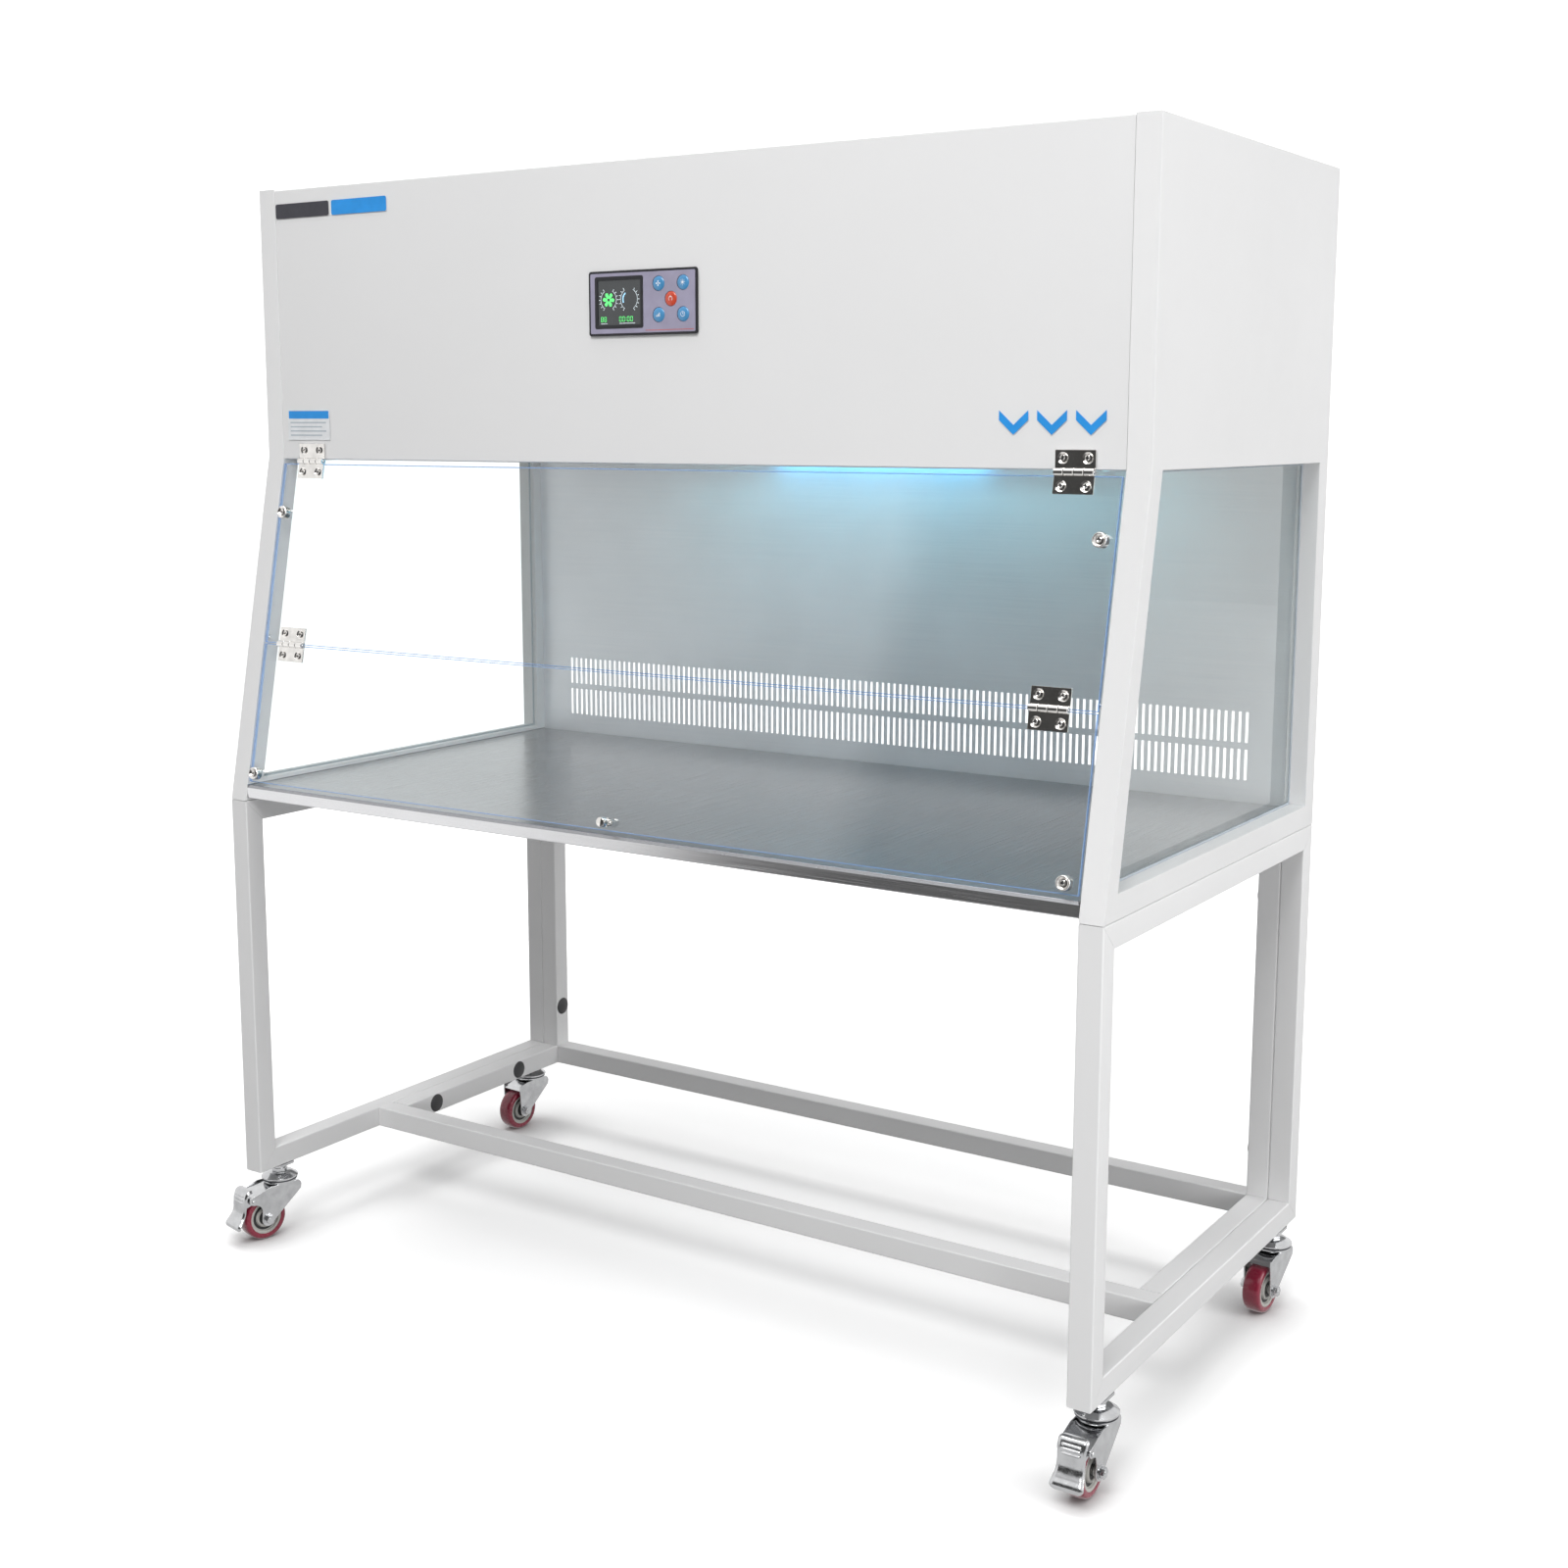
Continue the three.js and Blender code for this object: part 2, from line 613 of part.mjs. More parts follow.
function knob() {
  const { radius, neck, neckLength, length, z } = KNOB;
  const head = [[radius, neckLength + CHAMFER], [radius, length - CHAMFER], [0, length]];
  return studOnSash([[0, 0], [neck, 0], [neck, neckLength], ...head], 0, z);
}

function addSash(bench) {
  const slant = slantedGroup(bench);
  piece(slant, "sash_upper_panel", sashPanel(SASH.fold + SASH.gap / 2, SASH.top), ACRYLIC());
  piece(slant, "sash_lower_panel", sashPanel(SASH.bottom, SASH.fold - SASH.gap / 2), ACRYLIC());
  piece(slant, "sash_knob", knob(), CHROME());
  const pinY = SETBACK - HINGE_STANDOFF;
  const pinLocalY = pinY * Math.cos(TILT) - (TOP_PIN_Z - SEAM) * Math.sin(TILT);
  for (const [name, side] of Object.entries(SIDES)) {
    const x = side * HINGE.x;
    const coverLeaf = hingeLeaf(1, HINGE_STANDOFF);
    placed(piece(bench, `top_hinge_${name}_cover_leaf`, coverLeaf, CHROME()), x, pinY, TOP_PIN_Z);
    const sashLeaf = hingeLeaf(-1, -pinLocalY).rotateX(-TILT);
    placed(piece(bench, `top_hinge_${name}_sash_leaf`, sashLeaf, CHROME()), x, pinY, TOP_PIN_Z);
    for (const [level, direction] of [["upper", 1], ["lower", -1]]) {
      const leaf = hingeLeaf(direction, HINGE_STANDOFF);
      const mesh = piece(slant, `fold_hinge_${name}_${level}_leaf`, leaf, CHROME());
      placed(mesh, x, -HINGE_STANDOFF, SASH.fold);
      piece(slant, `magnet_${level}_${name}`, magnet(MAGNET[level], side), CHROME());
    }
  }
}

// ---- Casters ------------------------------------------------------------------------------
// Each is drawn with its swivel axis on z = x = y = 0 and its wheel trailing towards -y.
function casterStem() {
  const cup = turned(
    [[0, 96], [29.5, 96], [29.5, 99.5], [22, 104], [8.5, 106], [8.5, FOOT - 4], [0, FOOT - 4]],
    "z",
    16,
  );
  const pad = block([-17, -18, FOOT - 4.2], [17, 18, FOOT - GAP]);
  return join(cup, pad);
}

// Fork side plate: wide under the raceway, narrow round the axle, with an ear for the brake.
function forkArm(braked) {
  const { trail, wheel } = CASTER;
  const [axleY, axleZ, eye] = [-trail, wheel, 12];
  const ear = braked ? [[axleY - 10, 57], [-64, 68], [-68, 76], [-67, 80]] : [[-49, 78], [-49, 86]];
  const shape = new THREE.Shape();
  shape.moveTo(27, 92);
  shape.lineTo(27, 78);
  shape.lineTo(axleY + eye, axleZ - 4);
  shape.absarc(axleY, axleZ, eye, -0.3, Math.PI, true);
  for (const [y, z] of ear) shape.lineTo(y, z);
  shape.lineTo(-30, 92);
  return shape;
}

function casterFork(braked) {
  const { armX, arm, axle, trail, wheel } = CASTER;
  const halfX = armX + arm;
  const lip = braked
    ? [[-67, 80], [-66, 77.5], [-30, 89.5]]
    : [[-49, 86], [-49, 76], [-46.5, 76], [-46.5, 84.5], [-30, 89.5]];
  const top = polygon([[27, 92], [-30, 92], ...lip, [27, 89.5]].reverse());
  const nut = (x) => rod("x", NUT.radius, [x, -trail, wheel], NUT.length, 6);
  const pieces = [
    alongX(forkArm(braked), -halfX, -armX),
    alongX(forkArm(braked), armX, halfX),
    alongX(top, -halfX, halfX),
    rod("z", 27, [0, 0, 90], 5.7, 16),
    rod("x", axle, [-halfX, -trail, wheel], 2 * halfX, 10),
    nut(-halfX - NUT.length),
    nut(halfX),
  ];
  if (braked) pieces.push(rod("x", BRAKE.pin, [-armX, BRAKE.y, BRAKE.z], 2 * armX, 8));
  return join(...pieces);
}

// Both profiles are [radius, distance along the axle] points.
function hubProfile() {
  const side = [[4.4, -13], [12, -13], [15, -9], [27, -12]];
  return [...side, ...side.map(([r, h]) => [r, -h]).reverse()];
}

// The flats of the tread reach the wheel's full radius, so the wheel rests on one.
function treadProfile() {
  const rim = CASTER.wheel / Math.cos(Math.PI / TREAD_SIDES);
  const side = [[27.9, -13.5], [rim - 4, -13.5], [rim - 0.8, -9.5], [rim, -4]];
  return [...side, ...side.map(([r, h]) => [r, -h]).reverse()];
}

const wheelPart = (profile, sides) =>
  turned(profile, "x", sides).rotateX(Math.PI / sides).translate(0, -CASTER.trail, CASTER.wheel);

// Brake pedal: a curved plate in front of the wheel, with cheeks that turn on a pin.
function brakePedal() {
  const { y, z, bore, halfWidth, cheek, cheekX } = BRAKE;
  const outer = [[-62, 93], [-71, 90], [-77, 82], [-79, 64], [-83, 48], [-92, 36], [-90, 28]];
  const inner = [
    [-87, 29], [-88.5, 37], [-80.5, 49], [-76.5, 64], [-74.5, 81], [-70, 87.5], [-62, 90.5],
  ];
  const plate = alongX(polygon([...outer, ...inner]), -halfWidth, halfWidth);
  const cheekShape = polygon([
    [-72, 66], [-77.5, 60], [-76, 76], [y + 5, z + 4.2], [y + 5, z - 5],
  ]);
  const cheeks = [-cheekX, cheekX - cheek].map((x) => alongX(cheekShape, x, x + cheek));
  return cut(join(plate, ...cheeks), rod("x", bore, [-cheekX - OVER, y, z], 2 * (cheekX + OVER), 8));
}

function addCaster(bench, name, { side, rear, heading }) {
  const group = new THREE.Group();
  const y = rear ? DEPTH - CASTER.setback : CASTER.setback;
  group.position.set(side * (WIDTH / 2 - CASTER.inset), y, 0);
  bench.add(group);
  piece(group, `caster_${name}_stem`, casterStem(), CHROME());
  const swivel = new THREE.Group();
  swivel.rotation.z = THREE.MathUtils.degToRad(heading);
  group.add(swivel);
  piece(swivel, `caster_${name}_fork`, casterFork(!rear), CHROME());
  piece(swivel, `caster_${name}_hub`, wheelPart(hubProfile(), HUB_SIDES), HUB_GREY());
  piece(swivel, `caster_${name}_tread`, wheelPart(treadProfile(), TREAD_SIDES), MAROON());
  if (!rear) piece(swivel, `caster_${name}_brake_pedal`, brakePedal(), CHROME());
}

// ---- Assembly -----------------------------------------------------------------------------
const part = new THREE.Group();
const bench = new THREE.Group();
bench.position.y = FRONT_Y;
part.add(bench);
addStand(bench);
addCabinet(bench);
addAirAndLight(bench);
addControls(bench);
addSash(bench);
for (const [name, place] of Object.entries(CASTERS)) addCaster(bench, name, place);

export default part;
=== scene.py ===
"""Looks for the laminar-flow bench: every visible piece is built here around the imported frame.

Shapes are drawn in millimetres in bench coordinates (x from the middle, y from the stand's front
plane, z from the floor) and are turned into metres in the part's frame when a piece is made.
"""
import json
import math

import bmesh
import bpy
from mathutils import Matrix, Vector


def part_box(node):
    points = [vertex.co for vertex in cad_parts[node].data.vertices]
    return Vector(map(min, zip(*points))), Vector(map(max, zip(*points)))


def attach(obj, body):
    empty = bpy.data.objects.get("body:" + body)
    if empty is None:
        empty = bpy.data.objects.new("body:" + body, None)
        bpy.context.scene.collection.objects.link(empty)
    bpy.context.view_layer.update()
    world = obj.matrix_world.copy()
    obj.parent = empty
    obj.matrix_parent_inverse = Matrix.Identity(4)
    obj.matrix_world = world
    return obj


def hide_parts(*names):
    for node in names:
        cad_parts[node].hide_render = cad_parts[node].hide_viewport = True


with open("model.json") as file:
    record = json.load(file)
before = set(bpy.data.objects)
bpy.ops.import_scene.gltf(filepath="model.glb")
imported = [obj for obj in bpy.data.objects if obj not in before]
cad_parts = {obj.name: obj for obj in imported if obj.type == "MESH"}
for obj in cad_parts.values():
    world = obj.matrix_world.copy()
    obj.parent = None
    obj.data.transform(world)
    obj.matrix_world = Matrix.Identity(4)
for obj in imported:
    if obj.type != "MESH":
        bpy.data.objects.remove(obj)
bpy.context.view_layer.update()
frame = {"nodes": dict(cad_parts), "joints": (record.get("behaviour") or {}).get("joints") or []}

# ---- Driving dimensions, read from the frame ------------------------------------------
MM = 0.001


def corners_mm(node):
    """Lowest and highest corner of a CAD node, in millimetres of the part's frame."""
    low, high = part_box(node)
    return low / MM, high / MM


stand_low, stand_high = corners_mm("stand_side_frame_right")
FRONT_Y = stand_low.y
FOOT = stand_low.z
DEPTH = stand_high.y - stand_low.y
TUBE = stand_high.x - stand_low.x
INNER_X = stand_low.x
GAP = 0.3
SEAM = stand_high.z + GAP
cover_low, cover_high = corners_mm("front_cover")
HEIGHT = cover_high.z
COVER_BOTTOM = cover_low.z
SETBACK = cover_low.y - FRONT_Y
WORKTOP = corners_mm("worktop")[1].z
REAR_WALL_Y = corners_mm("rear_wall")[0].y - FRONT_Y
BEND = FOOT + 1154.7
TILT = math.atan(SETBACK / (BEND - SEAM))
SKIN = 1.5
CROSS_X = INNER_X - GAP
MID_RAIL_Y = corners_mm("stand_low_frame")[0].y - FRONT_Y
ACCESS_HOLES = [(733, FOOT + 108), (733, FOOT + 505), (603, FOOT + 17), (380, FOOT + 17)]
WINDOW_POST = 33
WINDOW_TOP = FOOT + 1150
CAP_X = CROSS_X - TUBE
SIDES = {"left": -1, "right": 1}
INLET_X = 560
INLET_Z = FOOT + 1290

BENCH = Matrix.Translation((0, FRONT_Y * MM, 0)) @ Matrix.Scale(MM, 4)
SASH_FRAME = Matrix.Translation((0, 0, SEAM)) @ Matrix.Rotation(-TILT, 4, "X")
# Along the sash: its two edges, the fold, and what is fixed to it, from the lower edge's corner.
SASH_LOW, SASH_FOLD, SASH_HIGH = 32, 252.5, 537.5
PANE_HALF_WIDTH, PANE_THICKNESS = 713, 5
HINGE_X, HINGE_STANDOFF = 650.5, 4.3
MAGNET_X, MAGNET_HEIGHTS = 695.6, {"upper": 459, "lower": 46}
KNOB_HEIGHT = 44
STOP_PIN_HEIGHT = 262
PANEL = {"x": -3, "z": FOOT + 1370, "width": 186, "height": 88.5}
PANEL_FACE = SETBACK - 2.7
BUTTONS = {
    "fan": (25.2, FOOT + 1394.5),
    "lamp": (66.4, FOOT + 1394.5),
    "power": (46, FOOT + 1373.5),
    "speed": (25.2, FOOT + 1352.5),
    "timer": (66.4, FOOT + 1352.5),
}


def placed(name, data):
    """A new object, put into the scene."""
    thing = bpy.data.objects.new(name, data)
    bpy.context.scene.collection.objects.link(thing)
    return thing


# ---- Camera ---------------------------------------------------------------------------
def add_camera():
    data = bpy.data.cameras.new("camera")
    data.lens = 46.38
    data.sensor_width = 36
    data.shift_x = 0.01009
    data.shift_y = -0.02826
    camera = placed("camera", data)
    camera.location = (1.7028, -2.5198, 1.3258)
    camera.rotation_euler = (math.radians(90 - 8.876), math.radians(-0.022), math.radians(33.468))
    bpy.context.scene.camera = camera


# ---- How the studio looks -------------------------------------------------------------
# The dark card is a painted reflection that only mirrors see: its edges (a direction and how soft the edge
# is) and how bright mirrors see it.
CARD_SIDES = [((0.86, -0.51, 0), 0.012), ((-0.6, -0.8, 0), 0.2), ((0, -0.6, -0.8), 0.08)]
CARD_TONE = 0.07
# What the surround shows to the camera and to mirrors, and the light it throws.
WORLD_SEEN = 1.3
WORLD_MIRRORED = 1.05
WORLD_LIGHT = 0.26
# The paper's colour for bounced light, and its own glow near the bench and far away.
FLOOR_SIZE = 24000
FLOOR_BOUNCE = 0.22
FLOOR_GLOW = (0.32, 1.0)
FLOOR_SHINE = (0.5, 1.0)
FLOOR_FADE = (1.2, 3.2)
# The refractive index that mirrors as much as both surfaces of a thin pane do.
TWO_SURFACES = 1.75


# ---- Materials ------------------------------------------------------------------------
def ranged(tree, value, from_min, from_max, to_min, to_max):
    node = tree.nodes.new("ShaderNodeMapRange")
    limits = {"From Min": from_min, "From Max": from_max, "To Min": to_min, "To Max": to_max}
    for key, limit in limits.items():
        node.inputs[key].default_value = limit
    tree.links.new(value, node.inputs["Value"])
    return node.outputs[0]


def combined(tree, operation, first, second):
    node = tree.nodes.new("ShaderNodeMath")
    node.operation = operation
    tree.links.new(first, node.inputs[0])
    tree.links.new(second, node.inputs[1])
    return node.outputs[0]


class Nodes:
    """A material whose node tree is built a few nodes at a time."""

    def __init__(self, name):
        self.material = bpy.data.materials.new(name)
        self.material.use_nodes = True
        self.tree = self.material.node_tree
        self.shader = self.tree.nodes["Principled BSDF"]
        self.output = self.tree.nodes["Material Output"]
        self.place = self.tree.nodes.new("ShaderNodeTexCoord").outputs["Object"]

    def add(self, kind, **inputs):
        node = self.tree.nodes.new(kind)
        for key, value in inputs.items():
            self.set(node, key.replace("_", " "), value)
        return node

    def set(self, node, key, value):
        if isinstance(value, bpy.types.NodeSocket):
            self.tree.links.new(value, node.inputs[key])
        else:
            node.inputs[key].default_value = value

    def surface(self, **inputs):
        """Sets inputs of the surface shader."""
        for key, value in inputs.items():
            self.set(self.shader, key.replace("_", " "), value)

    def noise(self, scale, detail=3, stretch=(1, 1, 1)):
        """Noise over the object's own metres, finer along the axes with more stretch."""
        mapping = self.add("ShaderNodeMapping", Vector=self.place, Scale=stretch)
        noise = self.add("ShaderNodeTexNoise", Vector=mapping.outputs[0], Scale=scale, Detail=detail)
        return noise.outputs[0]

    def spread(self, value, low, high, start=0.3, stop=0.7):
        return ranged(self.tree, value, start, stop, low, high)

    def colours(self, value, first, second):
        node = self.add("ShaderNodeMix")
        node.data_type = "RGBA"
        self.set(node, 0, value)
        for index, colour in ((6, first), (7, second)):
            is_socket = isinstance(colour, bpy.types.NodeSocket)
            self.set(node, index, colour if is_socket else (*colour, 1))
        return node.outputs[2]

    def times(self, first, second):
        return combined(self.tree, "MULTIPLY", first, second)

    def mixed(self, share, first, second):
        node = self.add("ShaderNodeMixShader", Fac=share)
        self.tree.links.new(first, node.inputs[1])
        self.tree.links.new(second, node.inputs[2])
        return node.outputs[0]

    def bump(self, height, strength, distance):
        node = self.add("ShaderNodeBump", Height=height, Strength=strength, Distance=distance)
        self.surface(Normal=node.outputs[0])

    def lighter_edges(self, colour, edge_colour, amount):
        """Mixes the lighter edge colour in on sharp convex edges."""
        geometry = self.add("ShaderNodeNewGeometry")
        edge = self.spread(geometry.outputs["Pointiness"], 0, amount, 0.53, 0.62)
        return self.colours(edge, colour, edge_colour)


def shade(colour, factor):
    return tuple(min(1, channel * factor) for channel in colour)


def paint(name, colour, rough=0.42):
    """Powder coat: a faint orange-peel texture, slight tone drift and lighter sharp edges."""
    n = Nodes(name)
    tone = n.colours(n.spread(n.noise(2.5), 0, 1), shade(colour, 0.975), shade(colour, 1.02))
    n.surface(Base_Color=n.lighter_edges(tone, shade(colour, 1.1), 0.5))
    n.surface(Roughness=n.spread(n.noise(30), rough - 0.05, rough + 0.06))
    n.bump(n.noise(700, 2), 0.10, 0.0004)
    n.surface(Specular_IOR_Level=0.25)
    return n.material


def steel(name, colour, rough, grain, metallic=1.0, strength=0.12):
    """Brushed sheet: fine scratches along one axis, in tone, roughness and bump."""
    n = Nodes(name)
    scratches = n.noise(1, 6, grain)
    cloud = n.spread(n.noise(5, 4), 0, 1)
    tone = n.colours(cloud, shade(colour, 0.93), shade(colour, 1.05))
    streaked = n.colours(n.spread(scratches, 0, 0.5), tone, shade(colour, 1.18))
    n.surface(Base_Color=streaked)
    n.surface(Roughness=n.spread(scratches, rough - 0.07, rough + 0.09))
    n.surface(Metallic=metallic)
    n.bump(scratches, strength, 0.0002)
    return n.material


def plated(name, colour, rough, scuffs=0.08):
    """Bright plating: faint cloudiness, small scuffs and lighter sharp edges."""
    n = Nodes(name)
    cloud = n.spread(n.noise(60, 4), 0, 1)
    tone = n.colours(cloud, shade(colour, 0.86), shade(colour, 1.06))
    n.surface(Base_Color=n.lighter_edges(tone, shade(colour, 1.15), 0.4))
    n.surface(Roughness=n.spread(n.noise(240, 3), rough - scuffs * 0.5, rough + scuffs))
    n.surface(Metallic=1.0)
    n.bump(n.noise(420, 3), scuffs, 0.0002)
    return n.material


def plastic(name, colour, rough, grain=900, coat=0.0):
    n = Nodes(name)
    tone = n.colours(n.spread(n.noise(45), 0, 1), shade(colour, 0.92), shade(colour, 1.06))
    n.surface(Base_Color=n.lighter_edges(tone, shade(colour, 1.3), 0.35))
    n.surface(Roughness=n.spread(n.noise(140), rough - 0.04, rough + 0.07))
    n.surface(Coat_Weight=coat)
    n.bump(n.noise(grain, 2), 0.08, 0.0002)
    return n.material


def glowing(name, colour, strength):
    """A lit display segment or lamp, a little uneven in brightness."""
    n = Nodes(name)
    n.surface(Base_Color=n.colours(n.noise(300), shade(colour, 0.8), colour))
    n.surface(Emission_Color=n.colours(n.noise(90), shade(colour, 0.92), colour))
    n.surface(Emission_Strength=strength)
    n.surface(Roughness=0.3)
    return n.material


def clear(name, colour, haze=0.0):
    """A clear pane: tinted see-through with Fresnel reflections, and some haze on a cut edge.

    The outer faces carry the reflection of both surfaces, as a raised refractive index.
    """
    n = Nodes(name)
    tint = n.colours(n.spread(n.noise(4, 4), 0, 1), shade(colour, 0.985), colour)
    see_through = n.add("ShaderNodeBsdfTransparent", Color=tint)
    gloss = n.add("ShaderNodeBsdfGlossy", Color=(1, 1, 1, 1), Roughness=0.02)
    fresnel = n.add("ShaderNodeFresnel", IOR=TWO_SURFACES).outputs[0]
    inside = n.add("ShaderNodeNewGeometry").outputs["Backfacing"]
    outer_share = n.spread(inside, 1, 0, 0, 1)
    share = n.times(fresnel, outer_share)
    pane = n.mixed(share, see_through.outputs[0], gloss.outputs[0])
    n.surface(Base_Color=n.colours(n.noise(120), shade(colour, 0.8), colour))
    n.surface(Roughness=n.spread(n.noise(300), 0.2, 0.35))
    n.tree.links.new(n.mixed(haze, pane, n.shader.outputs[0]), n.output.inputs["Surface"])
    return n.material


def filter_paper(name):
    n = Nodes(name)
    fibres = n.noise(900, 5, (1, 3, 1))
    n.surface(Base_Color=n.colours(fibres, (0.74, 0.73, 0.68), (0.86, 0.85, 0.81)))
    n.surface(Roughness=n.spread(fibres, 0.85, 1.0))
    n.bump(fibres, 0.35, 0.0005)
    return n.material


def floor_paper(name):
    """Pale paper that looks brighter than the light it throws back up.

    In mirrors it is a little dimmer, and dark under the card in front, as the card's painted reflection.
    """
    n = Nodes(name)
    path = n.add("ShaderNodeLightPath")
    direct, mirrored = path.outputs["Is Camera Ray"], path.outputs["Is Glossy Ray"]
    paper = n.colours(n.noise(1.5), (0.9, 0.9, 0.9), (0.92, 0.92, 0.92))
    distance = n.add("ShaderNodeVectorMath")
    distance.operation = "LENGTH"
    n.set(distance, "Vector", n.place)
    away = distance.outputs["Value"]
    # Ambient occlusion darkens the paper next to each part, in its glow and in its colour: a painted contact
    # shadow.
    painted_contact_shadow = n.add("ShaderNodeAmbientOcclusion", Distance=0.16)
    outside_contact_shadow = n.spread(painted_contact_shadow.outputs["AO"], 0.1, 1, 0.25, 0.95)
    glow = n.times(outside_contact_shadow, n.times(direct, n.spread(away, *FLOOR_GLOW, *FLOOR_FADE)))
    paper = n.colours(outside_contact_shadow, (0.3, 0.3, 0.3), paper)
    # Out towards the card the paper goes dark in mirrors: the card's painted reflection.
    painted_card_reflection = n.times(n.spread(away, 0, 1, 1.2, 1.8), card_mask(n.tree, n.place, 4))
    lit = n.times(n.spread(painted_card_reflection, 1, CARD_TONE, 0, 1), n.spread(away, *FLOOR_SHINE, *FLOOR_FADE))
    shine = n.times(mirrored, lit)
    dimmed = n.colours(n.times(mirrored, painted_card_reflection), (FLOOR_BOUNCE,) * 3, (0, 0, 0))
    n.surface(Base_Color=n.colours(direct, dimmed, paper))
    n.surface(Emission_Strength=combined(n.tree, "ADD", glow, shine))
    n.surface(Emission_Color=(1, 1, 1, 1))
    n.surface(Roughness=0.8)
    return n.material


def card_mask(tree, direction, softness=1.0):
    """1 towards the dark card, a painted reflection in front of the bench, 0 elsewhere."""
    card = None
    for normal, soft in CARD_SIDES:
        dot = tree.nodes.new("ShaderNodeVectorMath")
        dot.operation = "DOT_PRODUCT"
        tree.links.new(direction, dot.inputs[0])
        dot.inputs[1].default_value = normal
        side = ranged(tree, dot.outputs["Value"], -soft * softness, soft * softness, 0, 1)
        card = side if card is None else combined(tree, "MULTIPLY", card, side)
    return card


CABINET = paint("cabinet_paint", (0.76, 0.76, 0.762))
FRAME = paint("stand_paint", (0.78, 0.78, 0.782), 0.46)
# One stainless steel in three tones of painted light and shade: the wall lighter and bluer, the worktop much
# darker, the skirt between them.
WALL = steel("stainless_wall", (0.86, 0.885, 0.92), 0.48, (6, 6, 1400), 0.45)
TOP = steel("stainless_top", (0.33, 0.335, 0.35), 0.24, (1400, 6, 1400), 0.85)
APRON = steel("stainless_apron", (0.62, 0.62, 0.63), 0.2, (6, 1400, 1400))
GALVANISED = steel("galvanised", (0.55, 0.56, 0.57), 0.5, (40, 40, 40), strength=0.05)
NICKEL = plated("nickel", (0.80, 0.78, 0.755), 0.05, 0.03)
ZINC = plated("zinc", (0.60, 0.605, 0.615), 0.16, 0.09)
# The dark metal at the bottom of recesses and in gaps is painted shade.
RECESS_SHADE = plated("painted_recess_shade", (0.09, 0.09, 0.10), 0.4)
ACRYLIC = clear("acrylic", (0.985, 0.995, 1.0))
# On the panes' rims the haze is the cut edge's own; the strong blue is partly the sheet's own tint through
# its width and partly painted light carried inside the pane.
ACRYLIC_EDGE = clear("acrylic_edge", (0.42, 0.62, 0.96), 0.6)
SIDE_GLASS = clear("side_glass", (0.97, 0.985, 0.978))
BLACK = plastic("black_plastic", (0.018, 0.018, 0.02), 0.38, 500)
PANEL_BLACK = plastic("panel_black", (0.008, 0.008, 0.012), 0.35, 500)
PANEL_GREY = plastic("panel_grey", (0.34, 0.32, 0.43), 0.42, 700)
LCD_BLACK = plastic("lcd_glass", (0.045, 0.05, 0.053), 0.2, 200, 0.3)
BUTTON_BLUE = plastic("button_blue", (0.07, 0.28, 0.54), 0.3, 600, 0.4)
BUTTON_RED = plastic("button_red", (0.62, 0.07, 0.03), 0.3, 600, 0.4)
ICON_WHITE = plastic("icon_white", (0.85, 0.87, 0.9), 0.5)
GREEN_GLOW = glowing("green_glow", (0.12, 0.85, 0.2), 0.9)
WHITE_GLOW = glowing("white_glow", (0.75, 0.85, 0.9), 0.6)
ICE_GLOW = glowing("ice_glow", (0.35, 0.65, 0.9), 0.7)
UV_GLOW = glowing("uv_glow", (0.10, 0.62, 1.0), 5.0)
LAMP_WHITE = glowing("lamp_frosted", (0.9, 0.93, 0.95), 0.15)
MARK_DARK = plastic("mark_dark", (0.035, 0.035, 0.045), 0.5)
MARK_BLUE = plastic("mark_blue", (0.02, 0.30, 0.78), 0.45)
LABEL_WHITE = plastic("label_white", (0.8, 0.82, 0.84), 0.5)
LABEL_GREY = plastic("label_grey", (0.45, 0.5, 0.55), 0.6)
PAPER = filter_paper("filter_paper")
TREAD = plastic("tread_polyurethane", (0.27, 0.012, 0.04), 0.26, 350, 0.4)
HUB = plastic("hub_grey", (0.52, 0.51, 0.48), 0.42, 500)
SEAL = plastic("bearing_seal", (0.02, 0.02, 0.02), 0.5, 500)


# ---- Mesh helpers ---------------------------------------------------------------------
def oriented(x_to, y_to, z_to, origin=(0, 0, 0)):
    """The matrix that sends a drawing's x, y and z to the given directions."""
    matrix = Matrix((x_to, y_to, z_to)).transposed().to_4x4()
    return Matrix.Translation(origin) @ matrix


YZ_TO_X = oriented((0, 1, 0), (0, 0, 1), (1, 0, 0))
XZ_TO_FRONT = oriented((1, 0, 0), (0, 0, 1), (0, -1, 0))
XZ_TO_REAR = oriented((-1, 0, 0), (0, 0, 1), (0, 1, 0))
at = Matrix.Translation
IDENTITY = Matrix.Identity(4)


def side_plane(x):
    """A drawing plane of y and z at x, with its z to the right."""
    return at((x, 0, 0)) @ YZ_TO_X


def facing_in(side):
    """Stands a turned part on a post, pointing at the bench's middle."""
    return oriented((0, 1, 0), (0, 0, -side), (-side, 0, 0))


def spun(degrees):
    return Matrix.Rotation(math.radians(degrees), 4, "Z")


SHARP_ANGLE = math.radians(38)
COVER_SCREW = (4.2, 1.8)


